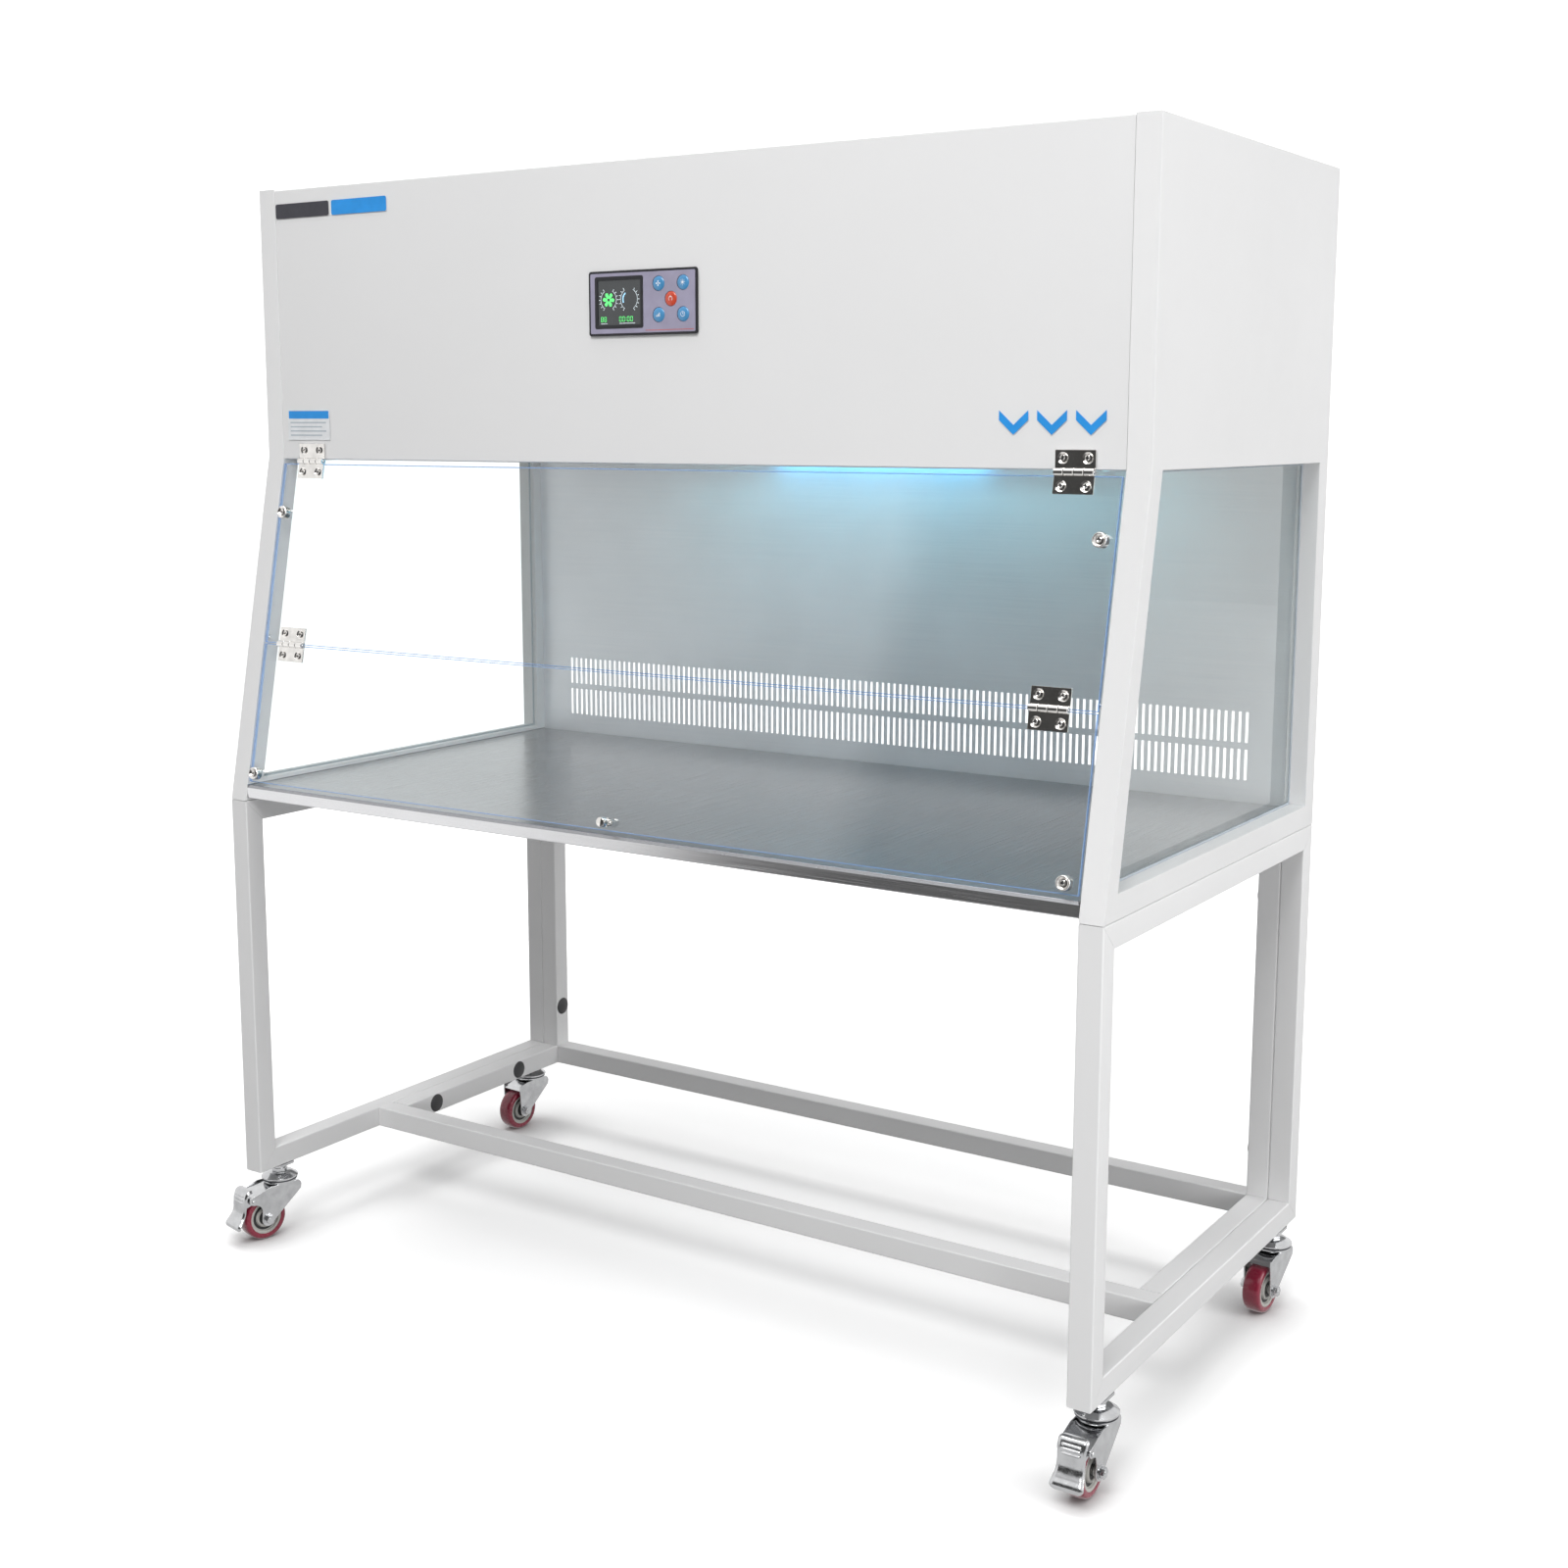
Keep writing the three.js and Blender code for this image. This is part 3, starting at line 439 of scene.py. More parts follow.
class Piece:
    """A mesh under construction. Each added shape keeps the material it was given."""

    def __init__(self):
        self.bm = bmesh.new()
        self.materials = []

    def absorb(self, shape, material, matrix=IDENTITY):
        if material not in self.materials:
            self.materials.append(material)
        slot = self.materials.index(material)
        for face in shape.faces:
            face.material_index = slot
        shape.transform(matrix)
        if matrix.determinant() < 0:
            bmesh.ops.reverse_faces(shape, faces=shape.faces)
        mesh = bpy.data.meshes.new("shape")
        shape.to_mesh(mesh)
        self.bm.from_mesh(mesh)
        bpy.data.meshes.remove(mesh)
        shape.free()

    def block(self, low, high, material, radius=1.0, matrix=IDENTITY, segments=3):
        self.absorb(block(low, high, radius, segments), material, matrix)

    def bar(self, low, high, axis, material, radius=2.4, matrix=IDENTITY):
        self.absorb(bar(low, high, axis, radius), material, matrix)

    def turned(self, profile, material, matrix=IDENTITY, sides=48):
        self.absorb(turned(profile, sides), material, matrix)

    def plate(self, outline, holes, thickness, material, radius=0.3, matrix=IDENTITY):
        self.absorb(plate(outline, holes, thickness, radius), material, matrix)

    def mark(self, outline, material, matrix, thickness=0.2, radius=0.04):
        """A thin flat shape laid on a face."""
        self.plate(outline, [], thickness, material, radius, matrix)

    def sheet(self, path, x0, x1, material, thickness=SKIN, bend=3.0, matrix=IDENTITY):
        self.absorb(sheet(path, x0, x1, thickness, bend), material, matrix)

    def finish(self, name, body, replaces=(), matrix=IDENTITY):
        """Puts the drawing into the part's frame and makes it ride on its body."""
        self.bm.transform(BENCH @ matrix)
        bmesh.ops.recalc_face_normals(self.bm, faces=self.bm.faces)
        mesh = bpy.data.meshes.new(name)
        self.bm.to_mesh(mesh)
        self.bm.free()
        for material in self.materials:
            mesh.materials.append(material)
        mesh.shade_smooth()
        mesh.set_sharp_from_angle(angle=SHARP_ANGLE)
        piece = placed(name, mesh)
        piece.modifiers.new("weighted_normals", "WEIGHTED_NORMAL").keep_sharp = True
        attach(piece, body)
        if replaces:
            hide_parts(*replaces)


def coat(node, material):
    """Gives a CAD node that stays visible its own material."""
    slots = frame["nodes"][node].data.materials
    slots.clear()
    slots.append(material)


def bevelled(bm, edges, radius, segments):
    if radius > 0:
        bmesh.ops.bevel(bm, geom=list(edges), offset=radius, segments=segments, profile=0.5,
                        affect="EDGES", clamp_overlap=True)
    return bm


def raw_block(low, high):
    bm = bmesh.new()
    low, high = Vector(low), Vector(high)
    bmesh.ops.create_cube(bm, size=1)
    bmesh.ops.scale(bm, vec=high - low, verts=bm.verts)
    bmesh.ops.translate(bm, vec=(low + high) / 2, verts=bm.verts)
    return bm


def block(low, high, radius, segments=3):
    bm = raw_block(low, high)
    return bevelled(bm, bm.edges, radius, segments)


def bar(low, high, axis, radius):
    """A square tube's outside, rounded along its length only."""
    bm = raw_block(low, high)
    index = "xyz".index(axis)

    def runs_along(edge):
        step = edge.verts[0].co - edge.verts[1].co
        return abs(step[index]) > 0.9 * step.length

    return bevelled(bm, filter(runs_along, bm.edges), radius, 4)


def prism(outline, depth):
    """An outline in x and y, extruded from z = 0."""
    bm = bmesh.new()
    base = bm.faces.new([bm.verts.new((x, y, 0)) for x, y in outline])
    raised = bmesh.ops.extrude_face_region(bm, geom=[base])["geom"]
    moved = [v for v in raised if isinstance(v, bmesh.types.BMVert)]
    bmesh.ops.translate(bm, vec=(0, 0, depth), verts=moved)
    bmesh.ops.recalc_face_normals(bm, faces=bm.faces)
    return bm


def turned(profile, sides):
    """A profile of (radius, height) points turned about z. It closes on the axis or on itself."""
    bm = bmesh.new()
    rings = []
    for radius, height in profile:
        if radius < 1e-6:
            rings.append([bm.verts.new((0, 0, height))] * sides)
            continue
        angles = [2 * math.pi * i / sides for i in range(sides)]
        rings.append([bm.verts.new((radius * math.cos(a), radius * math.sin(a), height)) for a in angles])
    if profile[0][0] > 1e-6:
        rings.append(rings[0])
    for lower, upper in zip(rings, rings[1:]):
        for i in range(sides):
            j = (i + 1) % sides
            corners = dict.fromkeys([lower[i], lower[j], upper[j], upper[i]])
            if len(corners) > 2:
                bm.faces.new(list(corners))
    bmesh.ops.recalc_face_normals(bm, faces=bm.faces)
    return bm


def plate(outline, holes, thickness, radius):
    """A flat plate from z = 0 up, with holes and rounded edges."""
    data = bpy.data.curves.new("plate", "CURVE")
    data.dimensions = "2D"
    data.fill_mode = "BOTH"
    data.extrude = thickness / 2 - radius
    data.bevel_depth = radius
    data.bevel_resolution = 1
    data.offset = -radius
    for points in [outline, *holes]:
        spline = data.splines.new("POLY")
        spline.points.add(len(points) - 1)
        for point, (x, y) in zip(spline.points, points):
            point.co = (x, y, 0, 1)
        spline.use_cyclic_u = True
    curve = placed("plate", data)
    depsgraph = bpy.context.evaluated_depsgraph_get()
    mesh = bpy.data.meshes.new_from_object(curve.evaluated_get(depsgraph))
    bm = bmesh.new()
    bm.from_mesh(mesh)
    bmesh.ops.translate(bm, vec=(0, 0, thickness / 2), verts=bm.verts)
    bmesh.ops.remove_doubles(bm, verts=bm.verts, dist=0.002)
    bpy.data.objects.remove(curve)
    bpy.data.curves.remove(data)
    bpy.data.meshes.remove(mesh)
    return bm


def rounded(path, bend):
    """The path with an arc of the bend radius at each inner corner."""
    steps = 5
    points = [Vector(path[0])]
    for before, corner, after in zip(path, path[1:], path[2:]):
        a = (Vector(before) - Vector(corner)).normalized()
        b = (Vector(after) - Vector(corner)).normalized()
        half = a.angle(b) / 2
        reach = min(bend / math.tan(half), (Vector(before) - Vector(corner)).length * 0.49)
        radius = reach * math.tan(half)
        centre = Vector(corner) + (a + b).normalized() * (radius / math.sin(half))
        start = Vector(corner) + a * reach - centre
        stop = Vector(corner) + b * reach - centre
        for i in range(steps + 1):
            points.append(centre + start.slerp(stop, i / steps))
    return points + [Vector(path[-1])]


def sheet(path, x0, x1, thickness, bend):
    """Sheet metal folded along a path in y and z, running from x0 to x1."""
    points = rounded(path, bend)
    left, right = [], []
    for i, point in enumerate(points):
        before = points[max(i - 1, 0)]
        after = points[min(i + 1, len(points) - 1)]
        along = (after - before).normalized()
        side = Vector((-along.y, along.x)) * thickness / 2
        left.append(point + side)
        right.append(point - side)
    bm = bmesh.new()
    rows = [[bm.verts.new((x, p.x, p.y)) for p in [*left, *reversed(right)]] for x in (x0, x1)]
    count = len(rows[0])
    for i in range(count):
        j = (i + 1) % count
        bm.faces.new([rows[0][i], rows[0][j], rows[1][j], rows[1][i]])
    half = len(left)
    for row in rows:
        for i in range(half - 1):
            bm.faces.new([row[i], row[i + 1], row[count - 2 - i], row[count - 1 - i]])
    bmesh.ops.recalc_face_normals(bm, faces=bm.faces)
    return bm


def circle(radius, x=0, y=0, sides=32):
    angles = [2 * math.pi * i / sides for i in range(sides)]
    return [(x + radius * math.cos(a), y + radius * math.sin(a)) for a in angles]


def band(inner, outer, start, stop):
    """The profile of a washer or, from radius 0, of a disc."""
    return [(inner, start), (outer, start), (outer, stop), (inner, stop)]


def mirrored(half):
    """A profile that is the same at both ends."""
    return [*half, *[(radius, -height) for radius, height in reversed(half)]]


def arc(radius, x, y, start, stop, steps=10):
    """Points on an arc, with angles in degrees."""
    angles = [math.radians(start + (stop - start) * i / steps) for i in range(steps + 1)]
    return [(x + radius * math.cos(a), y + radius * math.sin(a)) for a in angles]


def rectangle(x0, y0, x1, y1, radius=0.0):
    if radius == 0:
        return [(x0, y0), (x1, y0), (x1, y1), (x0, y1)]
    return [
        *arc(radius, x1 - radius, y0 + radius, -90, 0, 6),
        *arc(radius, x1 - radius, y1 - radius, 0, 90, 6),
        *arc(radius, x0 + radius, y1 - radius, 90, 180, 6),
        *arc(radius, x0 + radius, y0 + radius, 180, 270, 6),
    ]


def cross(s, w):
    """A plus-shaped outline for a screw's recess, of half size s and half width w."""
    return [
        (s, -w), (s, w), (w, w), (w, s), (-w, s), (-w, w),
        (-s, w), (-s, -w), (-w, -w), (-w, -s), (w, -s), (w, -w),
    ]


def screw(piece, matrix, radius, height):
    """A domed cross-recess screw head, standing up along the matrix's z."""
    recess = cross(radius * 0.5, radius * 0.13)
    piece.plate(circle(radius, sides=28), [recess], height, NICKEL, height * 0.4, matrix)
    # The dark disc seen through the cross is painted shade at the bottom of the recess.
    piece.plate(circle(radius * 0.7, sides=16), [], height * 0.4, RECESS_SHADE, 0.05, matrix)


# ---- Stand ----------------------------------------------------------------------------
def mitred_ring(piece, x0, low_y, high_y, low_z, high_z):
    """Four mitred square tubes in a closed rectangle, with fine joints at the corners."""
    joint = 0.25
    corner = [(low_y, low_z), (high_y, low_z), (high_y, high_z), (low_y, high_z)]
    inward = [(1, 1), (-1, 1), (-1, -1), (1, -1)]
    for i in range(4):
        j = (i + 1) % 4
        a, b = Vector(corner[i]), Vector(corner[j])
        along = (b - a).normalized() * joint
        inner_a = a + Vector(inward[i]) * TUBE
        inner_b = b + Vector(inward[j]) * TUBE
        outline = [a + along, b - along, inner_b - along, inner_a + along]
        bm = prism([tuple(p) for p in outline], TUBE)
        run = (b - a).normalized()

        def long_edge(edge):
            step = (edge.verts[0].co - edge.verts[1].co).normalized()
            return abs(step.x * run.x + step.y * run.y) > 0.9

        piece.absorb(bevelled(bm, filter(long_edge, bm.edges), 2.2, 4), FRAME, side_plane(x0))
    core = 1.0
    outer = rectangle(low_y + core, low_z + core, high_y - core, high_z - core)
    hole = rectangle(low_y + TUBE - core, low_z + TUBE - core, high_y - TUBE + core, high_z - TUBE + core)
    piece.plate(outer, [hole], TUBE - 2 * core, FRAME, 0.05, side_plane(x0 + core))


def add_stand():
    for name, side in SIDES.items():
        piece = Piece()
        x0 = INNER_X if side > 0 else -INNER_X - TUBE
        mitred_ring(piece, x0, 0, DEPTH, FOOT, SEAM - GAP)
        piece.finish(f"side_frame_{name}", "root", [f"stand_side_frame_{name}"])
    piece = Piece()
    rear = DEPTH - TUBE
    top = SEAM - GAP
    gap = 0.2
    rail = FOOT + TUBE
    for side in SIDES.values():
        x0, x1 = sorted((side * CROSS_X, side * CAP_X))
        piece.bar((x0, rear, FOOT), (x1, DEPTH, top), "z", FRAME)
    for low, high in ((FOOT, rail), (top - TUBE, top)):
        piece.bar((gap - CAP_X, rear, low), (CAP_X - gap, DEPTH, high), "x", FRAME)
    piece.finish("rear_frame", "root", ["stand_rear_frame"])
    piece = Piece()
    piece.bar((-CROSS_X, MID_RAIL_Y, FOOT), (CROSS_X, MID_RAIL_Y + TUBE, rail), "x", FRAME)
    for side in SIDES.values():
        x0, x1 = sorted((side * CROSS_X, side * CAP_X))
        piece.bar((x0, MID_RAIL_Y + TUBE + gap, FOOT), (x1, rear - GAP, rail), "y", FRAME)
    piece.finish("low_frame", "root", ["stand_low_frame"])


def add_plug_caps():
    """Domed black plugs that close the spanner holes on the inner faces of the stand."""
    piece = Piece()
    dome = [(0, 2.6), (7, 2.3), (12.5, 1.5), (15.2, 0.6), (15.6, 0), (15.6, -0.4), (0, -0.4)]
    for side in SIDES.values():
        for y, z in ACCESS_HOLES:
            piece.turned(dome, BLACK, at((side * CAP_X, y, z)) @ facing_in(side))
    piece.finish("plug_caps", "root")


# ---- Cabinet --------------------------------------------------------------------------
def slope(z):
    return (z - SEAM) * SETBACK / (BEND - SEAM)


def side_outline():
    base = SEAM + GAP
    return [
        (slope(base), base), (DEPTH, base), (DEPTH, HEIGHT), (SETBACK, HEIGHT), (SETBACK, BEND),
    ]


def window_outline(margin=0.0):
    low, high = SEAM + WINDOW_POST - margin, WINDOW_TOP + margin
    rear = DEPTH - 35 + margin
    front = WINDOW_POST - margin
    return [(slope(low) + front, low), (rear, low), (rear, high), (slope(high) + front, high)]


def add_cabinet_sides():
    for name, side in SIDES.items():
        piece = Piece()
        x0 = INNER_X if side > 0 else -INNER_X - TUBE
        piece.plate(side_outline(), [window_outline()], TUBE, CABINET, 1.6, side_plane(x0))
        piece.finish(f"side_shell_{name}", "root", [f"cabinet_side_{name}"])
        glazing_bead(name, side)
        coat(f"side_glass_{name}", SIDE_GLASS)


def glazing_bead(name, side):
    """A slim grey seal round the pane on the inside of the window."""
    piece = Piece()
    near = INNER_X + 7.2
    x0 = near if side > 0 else -near - 2
    piece.plate(window_outline(-0.2), [window_outline(-3.2)], 2, LABEL_GREY, 0.6, side_plane(x0))
    piece.finish(f"glazing_seal_{name}", "root")


def add_front_cover():
    """One sheet, folded back at the bottom and at the top."""
    half = SKIN / 2
    face = SETBACK + half
    piece = Piece()
    piece.sheet(
        [(SETBACK + TUBE, COVER_BOTTOM + half), (face, COVER_BOTTOM + half),
         (face, HEIGHT - half), (SETBACK + 20, HEIGHT - half)],
        -CROSS_X, CROSS_X, CABINET, bend=2.2,
    )
    piece.finish("front_panel", "root", ["front_cover"])


def add_roof():
    piece = Piece()
    intake = rectangle(-440, 260, 440, 590, 8)
    roof = rectangle(-CROSS_X, SETBACK + 20 + GAP, CROSS_X, DEPTH, 2)
    piece.plate(roof, [intake], SKIN, CABINET, 0.5, at((0, 0, HEIGHT - SKIN)))
    for x in (-690, -345, 0, 345, 690):
        for y in (150, 725):
            screw(piece, at((x, y, HEIGHT - 0.2)), *COVER_SCREW)
    piece.finish("roof_panel", "root", ["top_cover"])


def add_rear_cover():
    piece = Piece()
    outer = rectangle(-CROSS_X, WINDOW_TOP, CROSS_X, HEIGHT - SKIN - GAP, 2)
    opening = rectangle(INLET_X - 24.3, INLET_Z - 14.3, INLET_X + 24.3, INLET_Z + 14.3)
    piece.plate(outer, [opening], SKIN, CABINET, 0.5, at((0, DEPTH, 0)) @ XZ_TO_FRONT)
    for column in range(7):
        for row in (WINDOW_TOP + 14, HEIGHT - 18):
            screw(piece, at((-690 + 230 * column, DEPTH - 0.2, row)) @ XZ_TO_REAR, *COVER_SCREW)
    piece.finish("rear_panel", "root", ["rear_cover"])


def add_power_inlet():
    """A mains socket with three blades, set into the rear cover."""
    piece = Piece()
    face = at((INLET_X, DEPTH - 8.3, INLET_Z)) @ XZ_TO_REAR
    socket = [(-13, -8), (13, -8), (13, 3), (8, 8), (-8, 8), (-13, 3)]
    piece.plate(rectangle(-23.8, -13.8, 23.8, 13.8, 3), [socket], 8, BLACK, 0.8, face)
    piece.block((-15, -10, -18), (15, 10, 0.4), BLACK, 0.5, face)
    for px, pz in ((-7, -2), (7, -2), (0, 3)):
        piece.block((px - 1, pz - 2.2, 0), (px + 1, pz + 2.2, 6.5), NICKEL, 0.4, face)
    piece.finish("mains_inlet", "root", ["power_inlet"])


def add_roof_intake():
    """A wire guard over the pleated intake filter."""
    piece = Piece()
    top = HEIGHT - SKIN - 0.6
    x0, x1, y0, y1 = -458, 458, 242, 608
    for i in range(37):
        x = x0 + 26 + i * 24
        piece.block((x - 0.9, y0 + 4, top - 1.8), (x + 0.9, y1 - 4, top), ZINC, 0.5, segments=1)
    for i in range(15):
        y = y0 + 15 + i * 24
        piece.block((x0 + 4, y - 0.9, top - 3.4), (x1 - 4, y + 0.9, top - 1.7), ZINC, 0.5, segments=1)
    piece.finish("intake_guard", "root")
    piece = Piece()
    piece.plate(rectangle(x0, y0, x1, y1, 2), [rectangle(x0 + 14, y0 + 14, x1 - 14, y1 - 14)], 14,
                GALVANISED, 0.6, at((0, 0, top - 19)))
    pleats(piece, x0 + 13, x1 - 13, y0 + 13, y1 - 13, top - 17, top - 5, 14)
    piece.finish("intake_filter", "root", ["prefilter"])


def pleats(piece, x0, x1, y0, y1, low, high, pitch):
    """Folded filter paper: one zigzag sheet with rounded folds."""
    count = round((y1 - y0) / pitch) * 2
    step = (y1 - y0) / count
    path = [(y0 + i * step, high if i % 2 else low) for i in range(count + 1)]
    piece.sheet(path, x0, x1, PAPER, 0.8, 1.2)


# ---- Air and light --------------------------------------------------------------------
def add_diffuser():
    """The chamber's ceiling: a frame of ribs with wires across each opening."""
    piece = Piece()
    ceiling = COVER_BOTTOM + SKIN + GAP
    y0, y1 = SETBACK + TUBE + GAP, REAR_WALL_Y - GAP
    rib = 24
    cell_x, cell_y = (2 * CROSS_X - rib) / 8, (y1 - y0 - rib) / 2
    holes = []
    for column in range(8):
        for row in range(2):
            x, y = rib - CROSS_X + column * cell_x, y0 + rib + row * cell_y
            holes.append(rectangle(x, y, x + cell_x - rib, y + cell_y - rib, 6))
            for wire in range(1, 15):
                wx = x + wire * (cell_x - rib) / 15
                piece.block((wx - 0.6, y - 2, ceiling + 1.6), (wx + 0.6, y + cell_y - rib + 2, ceiling + 2.8),
                            ZINC, 0.3, segments=1)
    piece.plate(rectangle(-CROSS_X, y0, CROSS_X, y1), holes, SKIN, CABINET, 0.4, at((0, 0, ceiling)))
    piece.finish("diffuser_plate", "root", ["diffuser_ceiling"])


def add_hepa_filter():
    piece = Piece()
    low, high = corners_mm("hepa_filter")
    low.y -= FRONT_Y
    high.y -= FRONT_Y
    inner = rectangle(low.x + 18, low.y + 18, high.x - 18, high.y - 18)
    piece.plate(rectangle(low.x, low.y, high.x, high.y, 2), [inner], high.z - low.z, GALVANISED, 0.6,
                at((0, 0, low.z)))
    pleats(piece, low.x + 17, high.x - 17, low.y + 17, high.y - 17, low.z + 5, high.z - 5, 12)
    piece.finish("hepa_pack", "root", ["hepa_filter"])


def add_lamp(kind, glow, half, y, replaces=()):
    """A fluorescent tube along x, with its end caps, metal ferrules and holders."""
    piece = Piece()
    top = COVER_BOTTOM + SKIN
    z = top - 8
    axis = at((0, y, z)) @ YZ_TO_X
    piece.turned(mirrored([(0, 14 - half), (5.5, 14 - half), (6.5, 16 - half)]), glow, axis, 32)
    for side in (-1, 1):
        end = side * half
        ferrule = end - side * 12
        piece.turned(band(0, 6.8, end - 7, end + 7), LABEL_WHITE, axis, 32)
        piece.turned(band(0, 6.8, ferrule - 7, ferrule + 7), ZINC, axis, 32)
        piece.block((end - 7, y - 7, z - 7), (end + 7, y + 7, top), LABEL_WHITE, 1.5)
    piece.finish(f"{kind}_tube_lamp", "root", replaces)


def add_worktop():
    """A folded tray with a rolled front edge, and a brushed skirt below that edge."""
    piece = Piece()
    half = SKIN / 2
    base = WORKTOP - 24 + half
    front, rear = 3 + half, REAR_WALL_Y - GAP - half
    path = [(rear, base), (rear, WORKTOP - half), (front, WORKTOP - half), (front, WORKTOP - 7)]
    piece.sheet(path, -CROSS_X, CROSS_X, TOP, bend=3.2)
    piece.sheet([(front + 0.4, WORKTOP - 6.6), (front + 0.4, base), (front + 18, base)],
                -CROSS_X, CROSS_X, APRON, bend=1.5)
    for side in SIDES.values():
        x0, x1 = sorted((side * (CROSS_X - SKIN), side * CROSS_X))
        piece.block((x0, front, base), (x1, rear, WORKTOP - SKIN), TOP, 0.3)
    piece.finish("work_tray", "root", ["worktop"])


# ---- Control panel --------------------------------------------------------------------
def front(x, z, y=PANEL_FACE):
    """A drawing plane on the front, with its z towards the person."""
    return at((x, y, z)) @ XZ_TO_FRONT


def add_panel():
    """The control panel's bezel and grey face, and the body behind them."""
    x, z, w, h = PANEL["x"], PANEL["z"], PANEL["width"] / 2, PANEL["height"] / 2
    piece = Piece()
    wells = [circle(10.3, bx - x, bz - z) for bx, bz in BUTTONS.values()]
    lcd = rectangle(-80, -32.5, 0, 34.5, 2)
    piece.plate(rectangle(-w, -h, w, h, 4), [lcd, *wells], 2.4, PANEL_BLACK, 0.7, front(x, z, SETBACK - 0.3))
    face = rectangle(-w + 3.4, -h + 3.4, w - 3.4, h - 3.4, 2)
    lcd_frame = rectangle(-82, -34.5, 2, 36.5, 3)
    piece.plate(face, [lcd_frame, *wells], 0.5, PANEL_GREY, 0.15, front(x, z, SETBACK - 2.6))
    piece.block((-w + 9, -h + 9, -15), (w - 9, h - 9, -3), BLACK, 1.0, front(x, z, SETBACK - 2.6))
    view = rectangle(-77, -29.5, -3, 31.5, 1)
    piece.plate(lcd_frame, [view], 0.6, PANEL_BLACK, 0.2, front(x, z, SETBACK - 2.6))
    piece.mark(rectangle(6, -38.2, w - 6, -37.4), BUTTON_RED, front(x, z, SETBACK - 3.1), 0.15)
    piece.finish("panel_face", "root", ["control_bezel"])
    add_display(x, z)
    for name, (bx, bz) in BUTTONS.items():
        add_button(name, bx, bz)


def add_display(x, z):
    """The display's dark window with a fan, a dial and two plain numbers."""
    piece = Piece()
    piece.plate(rectangle(-79.4, -31.9, -0.6, 33.9, 2), [], 1.6, LCD_BLACK, 0.2, front(x, z, SETBACK - 0.5))
    face = front(x, z, SETBACK - 2.1)
    fan = at((-58.5, 5, 0))
    for i in range(6):
        blade = [(2.2, -1.6), (8.6, -3.2), (10.2, 0.2), (8.0, 2.0), (2.2, 1.4)]
        piece.mark(blade, GREEN_GLOW, face @ fan @ spun(60 * i))
    dial = at((-23, 5, 0))
    for centre, radius in ((fan, 13.5), (dial, 14.5)):
        ring(piece, face @ centre, radius, 0.5, 120, 240, WHITE_GLOW)
        ring(piece, face @ centre, radius, 0.5, -60, 60, WHITE_GLOW)
        for i in range(14):
            tick = rectangle(radius + 1, -0.35, radius + 3.4, 0.35)
            turn = spun(123 + 19 * (i % 7) + 180 * (i // 7))
            piece.mark(tick, WHITE_GLOW, face @ centre @ turn)
    ring(piece, face @ dial, 10.5, 2.0, 125, 205, ICE_GLOW)
    digits(piece, face, "88", -72, -25)
    digits(piece, face, "00:00", -40, -25)
    for x0, x1 in ((-72, -61), (-40, -13)):
        piece.mark(rectangle(x0, -27.6, x1, -27), WHITE_GLOW, face)
    piece.finish("display_screen", "root", ["display_window"])


def ring(piece, matrix, radius, width, start, stop, material):
    outer = arc(radius + width / 2, 0, 0, start, stop, 16)
    inner = arc(radius - width / 2, 0, 0, stop, start, 16)
    piece.mark(outer + inner, material, matrix)


def digits(piece, matrix, text, x, y):
    """Plain seven-segment numbers, 7 mm tall."""
    segments = {"0": "abcdef", "8": "abcdefg"}
    places = {
        "a": (0.5, 6.4, 3.3, 7), "b": (3.2, 3.8, 3.9, 6.5), "c": (3.2, 0.5, 3.9, 3.2),
        "d": (0.5, 0, 3.3, 0.6), "e": (-0.1, 0.5, 0.6, 3.2), "f": (-0.1, 3.8, 0.6, 6.5),
        "g": (0.5, 3.2, 3.3, 3.8),
    }
    for letter in text:
        if letter == ":":
            for height in (2, 5):
                dot = rectangle(x, y + height - 0.5, x + 0.9, y + height + 0.4)
                piece.mark(dot, GREEN_GLOW, matrix)
            x += 2.4
            continue
        for segment in segments[letter]:
            a, b, c, d = places[segment]
            piece.mark(rectangle(x + a, y + b, x + c, y + d), GREEN_GLOW, matrix)
        x += 5.6


def add_button(name, x, z):
    """A domed key with a plain icon: a power sign, fan blades, a lamp, a clock or bars."""
    piece = Piece()
    colour = BUTTON_RED if name == "power" else BUTTON_BLUE
    radius = 9.9
    dome = [(0, 1.5), (4, 1.42), (7, 1.15), (9, 0.6), (radius, -0.3), (radius, -4.4), (0, -4.4)]
    face = front(x, z)
    piece.turned(dome, colour, face, 56)
    icon = face @ at((0, 0, 1.25))

    def stroke(outline, degrees=0):
        piece.mark(outline, ICON_WHITE, icon @ spun(degrees), 0.3, 0.05)

    if name == "power":
        ring(piece, icon, 3.0, 0.8, -50, 230, ICON_WHITE)
        stroke(rectangle(-0.4, 1.4, 0.4, 4.2))
    elif name == "fan":
        for i in range(4):
            stroke([(0.6, -0.3), (3.4, -1.2), (4.0, 0.6), (1.2, 1.0)], 90 * i)
    elif name == "lamp":
        stroke(circle(1.9, sides=20))
        for i in range(8):
            stroke(rectangle(2.7, -0.25, 4.1, 0.25), 45 * i)
    elif name == "timer":
        ring(piece, icon, 3.3, 0.7, 0, 350, ICON_WHITE)
        stroke([(-0.35, -0.3), (2.1, -0.3), (2.1, 0.35), (0.35, 0.35), (0.35, 2.4), (-0.35, 2.4)])
    else:
        for i, height in enumerate((2.0, 3.6, 5.2)):
            bar_x = -3.2 + 2.3 * i
            stroke(rectangle(bar_x, -2.6, bar_x + 1.4, height - 2.6))
    piece.finish(f"key_{name}", f"button_{name}", [f"button_{name}"])


